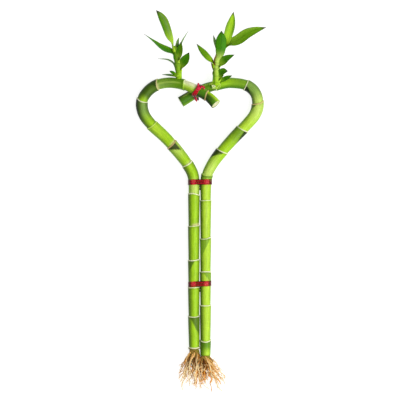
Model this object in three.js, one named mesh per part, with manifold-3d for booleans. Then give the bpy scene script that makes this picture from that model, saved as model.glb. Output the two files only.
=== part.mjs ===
// Heart-shaped lucky bamboo, lying on its back. Two live canes lie side by side, each is bent into
// half a heart, and red coated wire ties them at three places. Each cane has a leafy shoot near the
// top of the heart and a bunch of bare roots at its base.
//
// Units are millimetres. +Y runs from the roots to the leaves, +X to the right and +Z up from the
// surface. The origin is the centre of the upper tie's underside, which rests on that surface.

import * as THREE from 'three';
import { mergeVertices } from 'three/addons/utils/BufferGeometryUtils.js';
import Module from 'manifold-3d';

const wasm = await Module();
wasm.setup();

// ---------------------------------------------------------------------------------------------
// Driving dimensions
// ---------------------------------------------------------------------------------------------

const CURVE_DIVISIONS = 500; // how finely a curve's length is measured
const WELD = 1e-4; // corners closer than this are one corner
const GAP = 0.25; // clear space between neighbouring pieces
const WIRE = 0.85; // thickness of the tie wire with its coating, which is pressed oval
const WIRE_WIDTH = 1.1; // and its width
const REST = WIRE + GAP; // height of the canes' underside above the surface

const CANE_SIDES = 14;
const BEND_STEP = 0.22; // radians that a cane turns between two sections
const FLARE = 0.3; // a cane's joint is this much wider below its ring, and narrower above it
const RIDGE = 0.2; // how far the leaf scar's rim stands out of the ring
const RIM = 0.55; // half the height of that rim
const RING_WAVE = 0.2; // how far a ring's edge ripples

// Each cane: its centre line from the root end to the tip, its thickness at distances along that
// line, the lengths of its joints up to each leaf scar, how far each scar's ring slopes on either
// side, and the slant of its cut tip.
const LEFT_CANE = {
  centreLine: [
    [-5.7, -167.5, REST + 5.55], [-6.1, -135, REST + 5.55], [-6.2, -60, REST + 5.55],
    [-6.1, -15, REST + 5.55], [-6.1, 0, REST + 5.55], [-7.2, 7.5, REST + 5.6],
    [-10.5, 14.6, REST + 5.7], [-17.4, 24.5, REST + 5.8], [-33, 42.8, REST + 5.9],
    [-50.3, 59.4, REST + 5.9], [-55.6, 66.8, REST + 5.9], [-57.9, 74, REST + 5.9],
    [-58.1, 79.5, REST + 5.9], [-56.6, 84.5, REST + 5.8], [-54, 88.5, REST + 5.7],
    [-50.5, 92.3, 7.0], [-45.5, 95.8, 7.2], [-40, 98, 7.8],
    [-32, 99.2, 9.3], [-25, 98.9, 11.2], [-17, 97.4, 13.7],
    [-10, 94.7, 15.8], [-3, 91.2, 17.1], [4.2, 87.7, 17.6],
    [10.5, 83.1, 17.8], [15.8, 77.5, 17.9],
  ],
  radii: [[0, 5.5], [170, 5.55], [215, 5.85], [265, 5.8], [300, 5.3], [330, 5.15], [360, 5]],
  joints: [2, 31.1, 29, 27.4, 34, 32, 31.3, 25, 27.5, 27.4, 23.3, 26.3, 26.2],
  slopes: [0.2, 0.3, 0.2, 0.5, 0.7, -0.2, 0, 0.4, -0.8, -0.8, -1.3, 1.4, 1.8],
  tipSlant: 0.35,
};

const RIGHT_CANE = {
  centreLine: [
    [5.4, -173.5, REST + 5.2], [5.5, -120, REST + 5.2], [5.6, -60, REST + 5.2],
    [5.7, -20, REST + 5.2], [6.0, 0, REST + 5.25], [7.3, 7.5, REST + 5.4],
    [10, 13.7, REST + 5.6], [16.4, 23.9, REST + 5.8], [32, 42.1, REST + 6.0],
    [48.6, 59.5, REST + 6.0], [54.3, 66.5, REST + 6.0], [57.2, 73.5, REST + 6.0],
    [57.7, 80, REST + 6.0], [56.7, 86, REST + 5.9], [53.8, 91.3, REST + 5.7],
    [48.5, 95.8, REST + 5.5], [42, 98, REST + 5.4], [35, 98.9, REST + 5.3],
    [27, 99, REST + 5.3], [13.5, 96, REST + 5.2], [5, 93.5, REST + 5.15],
    [-5, 88.7, REST + 5.2], [-13, 83.8, REST + 5.2], [-19.3, 80, REST + 5.2],
  ],
  radii: [[0, 5.1], [170, 5.2], [215, 5.9], [270, 5.9], [300, 5.3], [330, 5.15], [365, 5.2]],
  joints: [14.6, 35.5, 33.7, 33.4, 37.8, 25.7, 28.1, 29.9, 31.1, 23.3, 31.5],
  slopes: [0.3, 0.3, 0.5, 0.6, 0, 0.6, 1.6, 1.7, 1.7, -0.6, 0],
  tipSlant: 0.05,
};

// Ties: turns of wire, and the places of the two straight bands along Y.
const CREST = 0.22; // half of the flat top of a turn of wire, as a part of its width
const BAND_BEVEL = 0.1; // how far a band's inner edges stand back
const BAND_TURNS = 5;
const UPPER_BAND_Y = 0;
const LOWER_BAND_Y = -101.8;
const BAND_ARC_STEPS = 8; // sections round each cane

// A tie's ends, twisted together. Those of a band lie in the groove under the canes, and their line
// is given as distances from the band's middle with heights above the surface.
const TWIST_RADIUS = 0.8;
const TWIST_OVAL = 0.6; // the twist's narrow side as a part of its wide one
const TWIST_SIDES = 6;
const TWIST_STEP = 0.9; // length of twist between two sections, which turn by TWIST_TURN radians
const TWIST_TURN = 0.9;
const GROOVE_X = -0.3;
const GROOVE_LINE = [[0, WIRE + 0.1], [3, WIRE + 0.4], [8, WIRE + 1.2]];

// The crossing tie: the middle line of its band, a point inside the loop, and its twisted ends.
const CROSSING_TURNS = 4;
const CROSSING_STEPS = 28;
const CROSSING_CORE = new THREE.Vector3(-3.6, 89.5, 11.5);
const CROSSING_LOOP = [
  [-1.4, 96.7, 16.6], [-2.2, 95.2, 20.6], [-3.8, 92.2, 22.4], [-5.5, 89.3, 21.2],
  [-6.5, 87.2, 18.2], [-6.0, 85.2, 13.6], [-4.9, 83.0, 9.0], [-4.2, 82.4, 6.0],
  [-3.8, 84.2, 2.2], [-3.4, 88.2, 0.35], [-3.0, 91.6, 0.4], [-2.4, 95.4, 3.0],
  [-1.9, 96.8, 7.0], [-1.6, 97.0, 12.0],
];
const CROSSING_ENDS = [
  [[-3.2, 92.4, 22.9], [-1.8, 95.4, 24.0], [-1.6, 99.0, 23.4]],
  [[-3.2, 92.0, 22.9], [0.4, 93.2, 24.0], [4.4, 92.8, 22.6]],
];

// Leafy shoots: the stalk's centre line and its radius at fractions of its length, then its leaves.
// A leaf starts at a distance along the stalk, on the side "from" (degrees round the stalk, 0 is up,
// 90 is +X) and runs through the points of "path". It has its full width at the fraction "widest",
// and a "point" of 1 is drawn out while 2 is blunt. "face" is the turn of its upper side about its
// own length, in degrees from straight up, and "twist" is how much further it turns by the tip. An
// "under" leaf shows its underside.
const BLADE = 0.7; // thickness of a leaf
const WIDE_LEAF = 7; // leaves wider than this are split more finely
const LEAF_TIP = 0.5; // width of a leaf's point
const LEAF_FOLD = 0.35; // radians that a blade's edges bend up from its middle
const NECK = 0.5; // a blade's width where it leaves the stalk, as a part of its full width
const CLASP_BEND = 1.3; // radians that a leaf's base wraps round the stalk to either side
const CLASP_HALF_WIDTH = 3;
const CLASP_LENGTH = 0.3; // the part of the leaf's length over which the base opens out
const FACE_LENGTH = 0.45; // and over which its face turns from the stalk to its own way
const SHEATH = { along: 2.5, out: 0.3 }; // a leaf first runs this far up the stalk, and out from it
const WIDE_GRID = [4, 9]; // a leaf's squares across and along
const SMALL_GRID = [2, 6];
const STALK_SIDES = 8;
const STALK_STEPS = 8;

const LEFT_SHOOT = {
  stalk: [
    [-21, 98.3, 12.4], [-21.1, 104, 12.4], [-21.3, 110, 12.4], [-22, 117, 12.6],
    [-23.2, 125, 13], [-24.4, 131, 13.6], [-25.4, 136, 14],
  ],
  radii: [[0, 3.0], [0.3, 2.6], [1, 1.7]],
  leaves: [
    {
      start: 32, from: -70, width: 9, widest: 0.66, point: 2.2, face: 20, twist: 0,
      path: [
        [-28, 137, 15.4], [-31, 146, 16.4], [-33.4, 153.4, 17], [-36.2, 160.6, 17],
        [-39.6, 166.4, 16], [-43.8, 171.4, 15],
      ],
    },
    {
      start: 24, from: -90, width: 8.4, widest: 0.3, point: 1.2, face: 30, twist: 40,
      path: [
        [-27, 127.6, 14], [-33, 131.4, 14.6], [-39.6, 135.4, 14.8], [-46, 140.4, 14],
        [-55.8, 147.8, 12.4],
      ],
    },
    {
      start: 13, from: -100, width: 5, widest: 0.4, point: 1.4, face: 68, twist: 0,
      path: [[-27, 118.5, 10], [-32, 122, 8], [-42, 123.4, 5.5]],
    },
    {
      start: 11, from: 80, width: 9.4, widest: 0.58, point: 1.9, face: -24, twist: 10,
      path: [[-19, 116, 15.4], [-14.8, 121.6, 18.6], [-10.8, 129, 21]],
    },
    {
      start: 20, from: 50, width: 7.6, widest: 0.56, point: 1.8, face: -36, twist: 0,
      path: [[-20.6, 125.4, 17], [-19.6, 132.4, 18.6], [-18.9, 140, 19]],
    },
    {
      start: 30, from: 120, width: 5, widest: 0.4, point: 1.4, face: 74, twist: 0,
      path: [[-20.6, 135, 12.5], [-17.6, 141.8, 11.5], [-11.6, 151, 9.5]],
    },
    {
      start: 32, from: 170, width: 4.6, widest: 0.5, point: 1.8, face: 45, twist: 0,
      path: [[-23.2, 136.4, 12.5], [-22.2, 141, 12.5], [-20.9, 144.2, 12]],
    },
    {
      start: 6.5, from: -50, width: 5, widest: 0.6, point: 2.2, face: 50, twist: 0,
      path: [[-24, 106.8, 15.2], [-27, 108.6, 17], [-30.4, 110.6, 18]],
    },
    {
      start: 6, from: -110, width: 4.2, widest: 0.45, point: 1.5, face: 58, twist: 0,
      path: [[-25.5, 105.8, 11.4], [-30, 106.6, 10.4], [-37.8, 107.4, 9]],
    },
  ],
};

const RIGHT_SHOOT = {
  stalk: [
    [16.2, 96.7, 6.5], [16.4, 98.2, 11.5], [16.6, 101.4, 14.5], [16.6, 108, 16.6],
    [16.4, 115, 17.6], [17.6, 123, 18.4], [20.2, 130, 19], [23, 135, 19.4],
  ],
  radii: [[0, 3.0], [0.3, 2.7], [1, 1.8]],
  leaves: [
    {
      start: 42, from: 150, width: 9.6, widest: 0.56, point: 1.8, face: 15, twist: 0,
      path: [[26.4, 141.4, 20.4], [28.8, 150, 21.4], [31.4, 159.6, 21], [33.5, 169.8, 19]],
    },
    {
      start: 38, from: 90, width: 11, widest: 0.52, point: 1.7, face: -12, twist: 0,
      path: [[30, 137.6, 20], [38.4, 141.8, 21.4], [47, 147.8, 21], [56, 151.6, 19], [66, 154.2, 16]],
    },
    {
      start: 28, from: 0, width: 11, widest: 0.66, point: 1.9, face: 4, twist: 0, under: true,
      path: [[19.2, 125, 22], [20.6, 133, 24], [21.2, 141, 25], [21.4, 150.4, 25.4]],
    },
    {
      start: 22, from: -80, width: 7, widest: 0.55, point: 1.7, face: 25, twist: 0,
      path: [[11.8, 119.4, 18.6], [6.4, 125.6, 20], [1.4, 131.4, 20], [-3.4, 137.8, 19]],
    },
    {
      start: 21, from: 70, width: 8.4, widest: 0.5, point: 1.5, face: -25, twist: 0,
      path: [[20.4, 116.6, 21], [25.6, 122.4, 22.4], [34.4, 126.9, 22]],
    },
    {
      start: 9.5, from: 60, width: 8, widest: 0.62, point: 2.2, face: -25, twist: 0,
      path: [[19.6, 104.8, 19.2], [22.4, 109.6, 22], [27.6, 110.4, 24]],
    },
    {
      start: 5.5, from: 100, width: 5.4, widest: 0.55, point: 1.9, face: -32, twist: 0,
      path: [[21, 100.6, 15.2], [26, 103.4, 16.2], [32, 106.2, 16]],
    },
    {
      start: 6, from: -60, width: 4.6, widest: 0.5, point: 1.6, face: 30, twist: 0,
      path: [[14.4, 101.2, 17.2], [14.4, 105.4, 18.2], [13.2, 111, 18.4]],
    },
    {
      start: 15, from: -100, width: 3.8, widest: 0.5, point: 1.6, face: 50, twist: 0,
      path: [[13.8, 111, 16.4], [12.4, 115.4, 16.2], [10.8, 119.4, 15.6]],
    },
    {
      start: 32, from: 190, width: 4.6, widest: 0.6, point: 2, face: 45, twist: 0,
      path: [[17, 132.6, 15.4], [14.8, 140, 13.6], [13.4, 146.4, 12]],
    },
    {
      start: 4.5, from: -50, width: 4.4, widest: 0.45, point: 1.6, face: 20, twist: 0,
      path: [[13.4, 98.8, 14.6], [11.4, 98.4, 14.2], [9.4, 97, 13.2]],
    },
    {
      start: 4, from: 0, width: 4.4, widest: 0.4, point: 1.6, face: 0, twist: 0,
      path: [[16.6, 95.6, 15], [16, 94.4, 14.6], [15, 93.2, 13.8]],
    },
  ],
};

// Roots: a bunch is a short brown crown, which is the cane's own base, with roots grown by a rule.
const CROWN_SIDES = 10;
const CROWN_SHAPE = [[0, 1], [0.15, 0.95], [0.5, 0.98], [0.85, 0.75], [1, 0.45]]; // [place, size]
const CROWN_LEAN = 1; // how far the crown's lower end leans aside, and sinks
const ROOT_COUNT = 28;
const ROOT_SIDES = 4;
const ROOT_STEPS = 5;
const ROOT_RADIUS = 0.85; // where a root leaves the crown
const ROOT_TIP_RADIUS = 0.42;
const ROOT_FLOOR = 0.9; // least height of a root's centre line
const ROOT_LENGTHS = [15, 32];
const ROOT_PLACES = [0.04, 0.95]; // first and last root's place down the crown
const ROOT_DEPTH = 0.8; // where a root's line starts, as a part of the crown's radius
const ROOT_SPLAY = [0.9, 0.5]; // how far the first and the last root lean out of the crown
const ROOT_FLATTEN = 0.6; // part of that lean left in height, since the bunch lies on the surface
const ROOT_WANDER = [0.7, 0.5]; // how much a root's line turns aside and in height at each step
const ROOT_DROOP = 0.2; // how much it turns down at each step
const ROOT_PULL = 0.3; // how much it turns towards the bunch's own direction at each step
const GOLDEN_TURN = 2.4; // radians from one root to the next round the crown
const DIVIDE = [[-206, -4], [-176, 0.2]]; // [Y, X] of the line between the two bunches

// "side" is -1 for the left bunch and 1 for the right one, and "lean" spreads the bunch that way.
const LEFT_ROOTS = { cane: LEFT_CANE, crown: 12, radius: 5.2, side: -1, lean: 0.15, seed: 11 };
const RIGHT_ROOTS = { cane: RIGHT_CANE, crown: 9, radius: 4.9, side: 1, lean: 0.45, seed: 29 };

// The rule for numbers that look random.
const RANDOM_FACTOR = 16807;
const RANDOM_MODULUS = 2147483647;

const COLORS = {
  leftCane: 0x8cb92a,
  rightCane: 0x9cc83c,
  leftShoot: 0x5f9a1e,
  rightShoot: 0x6fae1e,
  roots: 0xdcb98a,
  ties: 0xb81428,
};
const CANE_ROUGHNESS = 0.45;
const LEAF_ROUGHNESS = 0.5;
const ROOT_ROUGHNESS = 0.8;
const WIRE_ROUGHNESS = 0.3;

// ---------------------------------------------------------------------------------------------
// Small helpers
// ---------------------------------------------------------------------------------------------

const UP = new THREE.Vector3(0, 0, 1);
const radians = THREE.MathUtils.degToRad;
const mix = THREE.MathUtils.lerp;

// A smooth curve through points, each given as [x, y, z].
function curveThrough(points, closed = false) {
  const places = points.map((point) => new THREE.Vector3(...point));
  const curve = new THREE.CatmullRomCurve3(places, closed, 'centripetal');
  curve.arcLengthDivisions = CURVE_DIVISIONS;
  return curve;
}

// Where a curve is at a fraction of its length, with its direction and two cross directions.
function frameAt(curve, fraction) {
  const point = curve.getPointAt(fraction);
  const along = curve.getTangentAt(fraction);
  const side = new THREE.Vector3().crossVectors(along, UP).normalize();
  const up = new THREE.Vector3().crossVectors(side, along);
  return { point, along, side, up };
}

// The value at a place in a rising list of [place, value] pairs.
function valueAt(pairs, place) {
  const next = pairs.findIndex((pair) => pair[0] >= place);
  if (next === 0) return pairs[0][1];
  if (next < 0) return pairs[pairs.length - 1][1];
  const [before, after] = [pairs[next - 1], pairs[next]];
  return mix(before[1], after[1], (place - before[0]) / (after[0] - before[0]));
}

// A closed mesh as a solid that can be joined and cut.
function toSolid(geometry) {
  geometry.deleteAttribute('normal');
  geometry.deleteAttribute('uv');
  const merged = mergeVertices(geometry, WELD);
  return new wasm.Manifold(new wasm.Mesh({
    numProp: 3,
    vertProperties: Float32Array.from(merged.attributes.position.array),
    triVerts: Uint32Array.from(merged.index.array),
  }));
}

// The solid's mesh. Loose scraps that a cut leaves behind are dropped.
function toGeometry(solid) {
  const bodies = solid.decompose();
  bodies.sort((a, b) => b.volume() - a.volume());
  const mesh = bodies[0].getMesh();
  const geometry = new THREE.BufferGeometry();
  geometry.setAttribute('position', new THREE.BufferAttribute(mesh.vertProperties, 3));
  geometry.setIndex(new THREE.BufferAttribute(mesh.triVerts, 1));
  geometry.computeVertexNormals();
  return geometry;
}

// A closed tube along a curve. Each section has its distance from the start and its radius, and may
// have an oval stretch, a turn, and a function that shifts its points along the curve.
function tube(curve, sections, sides) {
  const length = curve.getLength();
  const geometry = new THREE.CylinderGeometry(1, 1, 1, sides, sections.length - 1);
  const position = geometry.attributes.position;
  const frames = sections.map((section) => frameAt(curve, Math.min(section.at / length, 1)));
  for (let k = 0; k < position.count; k += 1) {
    const index = Math.round((position.getY(k) + 0.5) * (sections.length - 1));
    const { radius, oval = 1, turn = 0, shift } = sections[index];
    const { point, along, side, up } = frames[index];
    const [x, z] = [position.getX(k) * radius, position.getZ(k) * radius * oval];
    const place = point.clone();
    place.addScaledVector(side, x * Math.cos(turn) - z * Math.sin(turn));
    place.addScaledVector(up, x * Math.sin(turn) + z * Math.cos(turn));
    if (shift) place.addScaledVector(along, shift(x / radius, z / radius));
    position.setXYZ(k, ...place);
  }
  return toSolid(geometry);
}

// ---------------------------------------------------------------------------------------------
// Canes
// ---------------------------------------------------------------------------------------------

// Where a cane's joints begin and end, measured along its centre line.
function jointEnds(cane, length) {
  const ends = [0];
  for (const joint of cane.joints) ends.push(ends[ends.length - 1] + joint);
  return [...ends, length];
}

// A cane's radius between its rings. Each joint widens from its lower ring to its upper one.
function caneRadius(cane, length, at) {
  const ends = jointEnds(cane, length);
  const upper = ends.findIndex((end) => end > at);
  const part = (at - ends[upper - 1]) / (ends[upper] - ends[upper - 1]);
  return valueAt(cane.radii, at) + mix(-FLARE, FLARE, part);
}

// The cross-sections of a cane. Each joint ends in the leaf scar's rim, and the next one starts
// narrower.
function caneSections(cane, curve, grow) {
  const length = curve.getLength();
  const ends = jointEnds(cane, length);
  const sections = [{ at: 0, radius: cane.radii[0][1] + grow }];
  for (let number = 1; number < ends.length; number += 1) {
    const [lower, upper] = [ends[number - 1], ends[number]];
    const turned = curve.getTangentAt(lower / length).angleTo(curve.getTangentAt(upper / length));
    const steps = Math.max(1, Math.ceil(turned / BEND_STEP));
    for (let step = 1; step < steps; step += 1) {
      const at = mix(lower, upper, step / steps);
      sections.push({ at, radius: caneRadius(cane, length, at) + grow });
    }
    const radius = valueAt(cane.radii, upper) + grow;
    if (upper === length) {
      const shift = (x, z) => -cane.tipSlant * z * radius;
      sections.push({ at: length, radius, shift });
    } else {
      const shift = (x, z) => cane.slopes[number - 1] * x + RING_WAVE * (x * x - z * z);
      sections.push({ at: upper - RIM, radius: radius + FLARE, shift });
      sections.push({ at: upper, radius: radius + FLARE + RIDGE, shift });
      sections.push({ at: upper + RIM, radius: radius - FLARE, shift });
    }
  }
  return sections;
}

// A cane, or with "grow" the space round it that its neighbours keep clear of.
function caneSolid(cane, grow = 0) {
  const curve = curveThrough(cane.centreLine);
  return tube(curve, caneSections(cane, curve, grow), CANE_SIDES);
}

const leftClearance = caneSolid(LEFT_CANE, GAP);
const rightClearance = caneSolid(RIGHT_CANE, GAP);

// What is left of a solid outside both canes and the space round them.
function clearOfCanes(solid) {
  return solid.subtract(leftClearance).subtract(rightClearance);
}

// Where a cane's centre line crosses a plane across the straight stretch, which lies in its lower
// half, and how far the cane reaches from there in that plane.
function caneAtY(cane, y) {
  const curve = curveThrough(cane.centreLine);
  const length = curve.getLength();
  let [low, high] = [0, 0.5];
  while ((high - low) * length > WELD) {
    const middle = (low + high) / 2;
    if (curve.getPointAt(middle).y < y) low = middle;
    else high = middle;
  }
  const radius = caneRadius(cane, length, low * length) / curve.getTangentAt(low).y;
  return { x: curve.getPointAt(low).x, radius };
}

// ---------------------------------------------------------------------------------------------
// Ties
// ---------------------------------------------------------------------------------------------

// The section of several turns of wire lying side by side: ribs outside, flat inside. Each point
// is [height above the inner face, place across the band].
function bandSection(turns) {
  const half = (turns * WIRE_WIDTH) / 2;
  const crest = WIRE_WIDTH * CREST;
  const points = [[0, -half + BAND_BEVEL], [WIRE / 2, -half]];
  for (let turn = 0; turn < turns; turn += 1) {
    const middle = (turn + 0.5) * WIRE_WIDTH - half;
    points.push([WIRE, middle - crest], [WIRE, middle + crest]);
    points.push([WIRE / 2, middle + WIRE_WIDTH / 2]);
  }
  points.push([0, half - BAND_BEVEL], [0, -half + BAND_BEVEL]);
  return points.map(([height, across]) => new THREE.Vector2(height, across));
}

// The wire's two ends twisted together: an oval rod whose section turns as it goes.
function twistedEnds(points) {
  const curve = curveThrough(points);
  const length = curve.getLength();
  const steps = Math.ceil(length / TWIST_STEP);
  const sections = [];
  for (let step = 0; step <= steps; step += 1) {
    const at = (length * step) / steps;
    sections.push({ at, radius: TWIST_RADIUS, oval: TWIST_OVAL, turn: step * TWIST_TURN });
  }
  return tube(curve, sections, TWIST_SIDES);
}

// A circle that clears a cane over the whole width of a band. "outward" is -1 for the left cane.
function circleRound(cane, y, outward) {
  const half = (BAND_TURNS * WIRE_WIDTH) / 2;
  const crossings = [y - half, y, y + half].map((place) => caneAtY(cane, place));
  const radius = Math.max(...crossings.map((crossing) => crossing.radius)) + GAP;
  const x = outward * Math.max(...crossings.map((crossing) => outward * crossing.x));
  return { x, z: radius + WIRE, radius };
}

// A band of wire drawn tight round both canes where they lie side by side. It runs straight from
// one cane to the other, above and below.
function bandSolid(y) {
  const left = circleRound(LEFT_CANE, y, -1);
  const right = circleRound(RIGHT_CANE, y, 1);
  const [dx, dz] = [right.x - left.x, right.z - left.z];
  const towardsRight = Math.atan2(dx, dz);
  const spread = Math.acos((left.radius - right.radius) / Math.hypot(dx, dz));
  const sections = [];
  for (const [circle, first, last] of [
    [right, towardsRight - spread, towardsRight + spread],
    [left, towardsRight + spread, towardsRight - spread + 2 * Math.PI],
  ]) {
    for (let step = 0; step <= BAND_ARC_STEPS; step += 1) {
      sections.push({ circle, angle: mix(first, last, step / BAND_ARC_STEPS) });
    }
  }
  const profile = bandSection(BAND_TURNS);
  const geometry = new THREE.LatheGeometry(profile, sections.length);
  const position = geometry.attributes.position;
  for (let k = 0; k < position.count; k += 1) {
    const { circle, angle } = sections[Math.floor(k / profile.length) % sections.length];
    const { x: height, y: across } = profile[k % profile.length];
    const reach = circle.radius + height;
    const [x, z] = [circle.x + reach * Math.sin(angle), circle.z + reach * Math.cos(angle)];
    position.setXYZ(k, x, y + across, z);
  }
  const twist = twistedEnds(GROOVE_LINE.map(([distance, z]) => [GROOVE_X, y - distance, z]));
  return clearOfCanes(toSolid(geometry).add(twist));
}

// The lashing where the tips cross. Its middle runs over the upper cane, straight down to the lower
// cane's edge, under both and up again. The section's ribs are its turns.
function crossingTieSolid() {
  const loop = curveThrough(CROSSING_LOOP, true);
  const profile = bandSection(CROSSING_TURNS);
  const geometry = new THREE.LatheGeometry(profile, CROSSING_STEPS);
  const position = geometry.attributes.position;
  for (let k = 0; k < position.count; k += 1) {
    const fraction = (Math.floor(k / profile.length) % CROSSING_STEPS) / CROSSING_STEPS;
    const { x: height, y: across } = profile[k % profile.length];
    const point = loop.getPointAt(fraction);
    const along = loop.getTangentAt(fraction);
    const outward = point.clone().sub(CROSSING_CORE);
    outward.addScaledVector(along, -along.dot(outward)).normalize();
    const sideways = new THREE.Vector3().crossVectors(outward, along);
    point.addScaledVector(outward, height - WIRE / 2).addScaledVector(sideways, across);
    position.setXYZ(k, point.x, point.y, Math.max(point.z, 0));
  }
  return clearOfCanes(CROSSING_ENDS.reduce((sum, end) => sum.add(twistedEnds(end)), toSolid(geometry)));
}

// ---------------------------------------------------------------------------------------------
// Leafy shoots
// ---------------------------------------------------------------------------------------------

// A blade of even thickness. "surface" gives the point and the normal of its middle sheet at a
// place across (-1 to 1) and along (0 to 1). Both faces are split into the same triangles.
function blade(across, along, surface) {
  const sheet = new THREE.PlaneGeometry(2, 1, across, along);
  const places = sheet.attributes.position;
  const count = places.count;
  const corners = new Float32Array(count * 6);
  for (let k = 0; k < count; k += 1) {
    const { point, normal } = surface(places.getX(k), places.getY(k) + 0.5);
    point.clone().addScaledVector(normal, BLADE / 2).toArray(corners, k * 3);
    point.clone().addScaledVector(normal, -BLADE / 2).toArray(corners, (count + k) * 3);
  }
  const triangles = [...sheet.index.array];
  for (let t = 0; t < sheet.index.count; t += 3) {
    const [a, b, c] = sheet.index.array.slice(t, t + 3);
    triangles.push(count + a, count + c, count + b);
  }
  const edge = rim(across, along);
  edge.forEach((p, k) => {
    const q = edge[(k + 1) % edge.length];
    triangles.push(q, p, count + p, q, count + p, count + q);
  });
  const geometry = new THREE.BufferGeometry();
  geometry.setAttribute('position', new THREE.BufferAttribute(corners, 3));
  geometry.setIndex(triangles);
  return toSolid(geometry);
}

// The corner numbers round the edge of a grid, against the clock.
function rim(across, along) {
  const number = (column, row) => column + (across + 1) * row;
  const edge = [];
  for (let column = 0; column < across; column += 1) edge.push(number(column, along));
  for (let row = along; row > 0; row -= 1) edge.push(number(across, row));
  for (let column = across; column > 0; column -= 1) edge.push(number(column, 0));
  for (let row = 0; row < along; row += 1) edge.push(number(0, row));
  return edge;
}

// Half of a leaf's width at a fraction of its length: a clasping base, then a blade that widens
// from its neck and closes to a point.
function halfWidth({ width, widest, point }, fraction) {
  const swell = mix(NECK, 1, Math.sin((Math.PI / 2) * Math.min(fraction / widest, 1)));
  const taper = 1 - Math.max((fraction - widest) / (1 - widest), 0) ** point;
  const opened = THREE.MathUtils.smoothstep(fraction, 0, CLASP_LENGTH);
  return Math.max(mix(CLASP_HALF_WIDTH, (width / 2) * swell, opened) * taper, LEAF_TIP / 2);
}

// The direction out of a line, at an angle round it from straight up.
function outOf({ side, up }, angle) {
  return up.clone().multiplyScalar(Math.cos(angle)).addScaledVector(side, Math.sin(angle));
}

// One leaf. Its base clasps the stalk, and the blade then turns its face its own way.
function leafSolid(leaf, stalk, stalkRadius) {
  const place = leaf.start / stalk.getLength();
  const foot = frameAt(stalk, place);
  const outward = outOf(foot, radians(leaf.from));
  const start = foot.point.clone().addScaledVector(outward, stalkRadius(place));
  const rise = start.clone().addScaledVector(foot.along, SHEATH.along).addScaledVector(outward, SHEATH.out);
  const curve = curveThrough([start.toArray(), rise.toArray(), ...leaf.path]);
  const surface = (across, fraction) => {
    const frame = frameAt(curve, fraction);
    const face = outOf(frame, radians(leaf.face + leaf.twist * fraction));
    if (leaf.under) face.negate();
    const open = THREE.MathUtils.smoothstep(fraction, 0, FACE_LENGTH);
    const facing = outward.clone().negate().lerp(face, open);
    facing.addScaledVector(frame.along, -frame.along.dot(facing)).normalize();
    const sideways = new THREE.Vector3().crossVectors(frame.along, facing);
    const curl = mix(CLASP_BEND, LEAF_FOLD, open);
    const reach = halfWidth(leaf, fraction) / curl;
    const bend = curl * across;
    const point = frame.point.addScaledVector(sideways, reach * Math.sin(bend));
    point.addScaledVector(facing, reach * (1 - Math.cos(bend)));
    const normal = facing.clone().multiplyScalar(Math.cos(bend)).addScaledVector(sideways, -Math.sin(bend));
    return { point, normal };
  };
  return blade(...(leaf.width > WIDE_LEAF ? WIDE_GRID : SMALL_GRID), surface);
}

// A leafy shoot, cut off clear of the cane that it grows from.
function shootSolid({ stalk, radii, leaves }) {
  const curve = curveThrough(stalk);
  const length = curve.getLength();
  const stalkRadius = (fraction) => valueAt(radii, fraction);
  const sections = [];
  for (let step = 0; step <= STALK_STEPS; step += 1) {
    const fraction = step / STALK_STEPS;
    sections.push({ at: length * fraction, radius: stalkRadius(fraction) });
  }
  const blades = leaves.map((leaf) => leafSolid(leaf, curve, stalkRadius));
  return clearOfCanes(blades.reduce((sum, leaf) => sum.add(leaf), tube(curve, sections, STALK_SIDES)));
}

// ---------------------------------------------------------------------------------------------
// Roots
// ---------------------------------------------------------------------------------------------

// Numbers from 0 to 1 that look random and are the same each time.
function seeded(seed) {
  let state = seed;
  return () => {
    state = (state * RANDOM_FACTOR) % RANDOM_MODULUS;
    return state / RANDOM_MODULUS;
  };
}

// How far to the right the roots of the left bunch may reach at a place along Y. The right bunch
// stays on the other side.
function divide(y) {
  return valueAt(DIVIDE, y);
}

// The line of one root: out of the crown, then along the bunch and down to the surface.
function rootLine({ radius, side, lean }, crown, number, random) {
  const part = (number + 0.5) / ROOT_COUNT;
  const start = frameAt(crown, mix(...ROOT_PLACES, part));
  const out = outOf(start, number * GOLDEN_TURN);
  const splay = mix(...ROOT_SPLAY, part);
  const direction = new THREE.Vector3(out.x * splay + side * lean, -1, out.z * splay * ROOT_FLATTEN);
  const stride = mix(...ROOT_LENGTHS, random()) / ROOT_STEPS;
  const points = [start.point.clone().addScaledVector(out, radius * ROOT_DEPTH)];
  for (let step = 1; step <= ROOT_STEPS; step += 1) {
    direction.x += (random() - 0.5) * ROOT_WANDER[0] + side * lean * ROOT_PULL;
    direction.y -= ROOT_PULL;
    direction.z += (random() - 0.5) * ROOT_WANDER[1] - ROOT_DROOP;
    direction.normalize();
    const point = points[step - 1].clone().addScaledVector(direction, stride);
    const limit = divide(point.y) + side * (ROOT_RADIUS + GAP);
    point.x = side * Math.max(side * point.x, side * limit);
    point.z = Math.max(point.z, ROOT_FLOOR);
    points.push(point);
  }
  return curveThrough(points.map((point) => point.toArray()));
}

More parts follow.
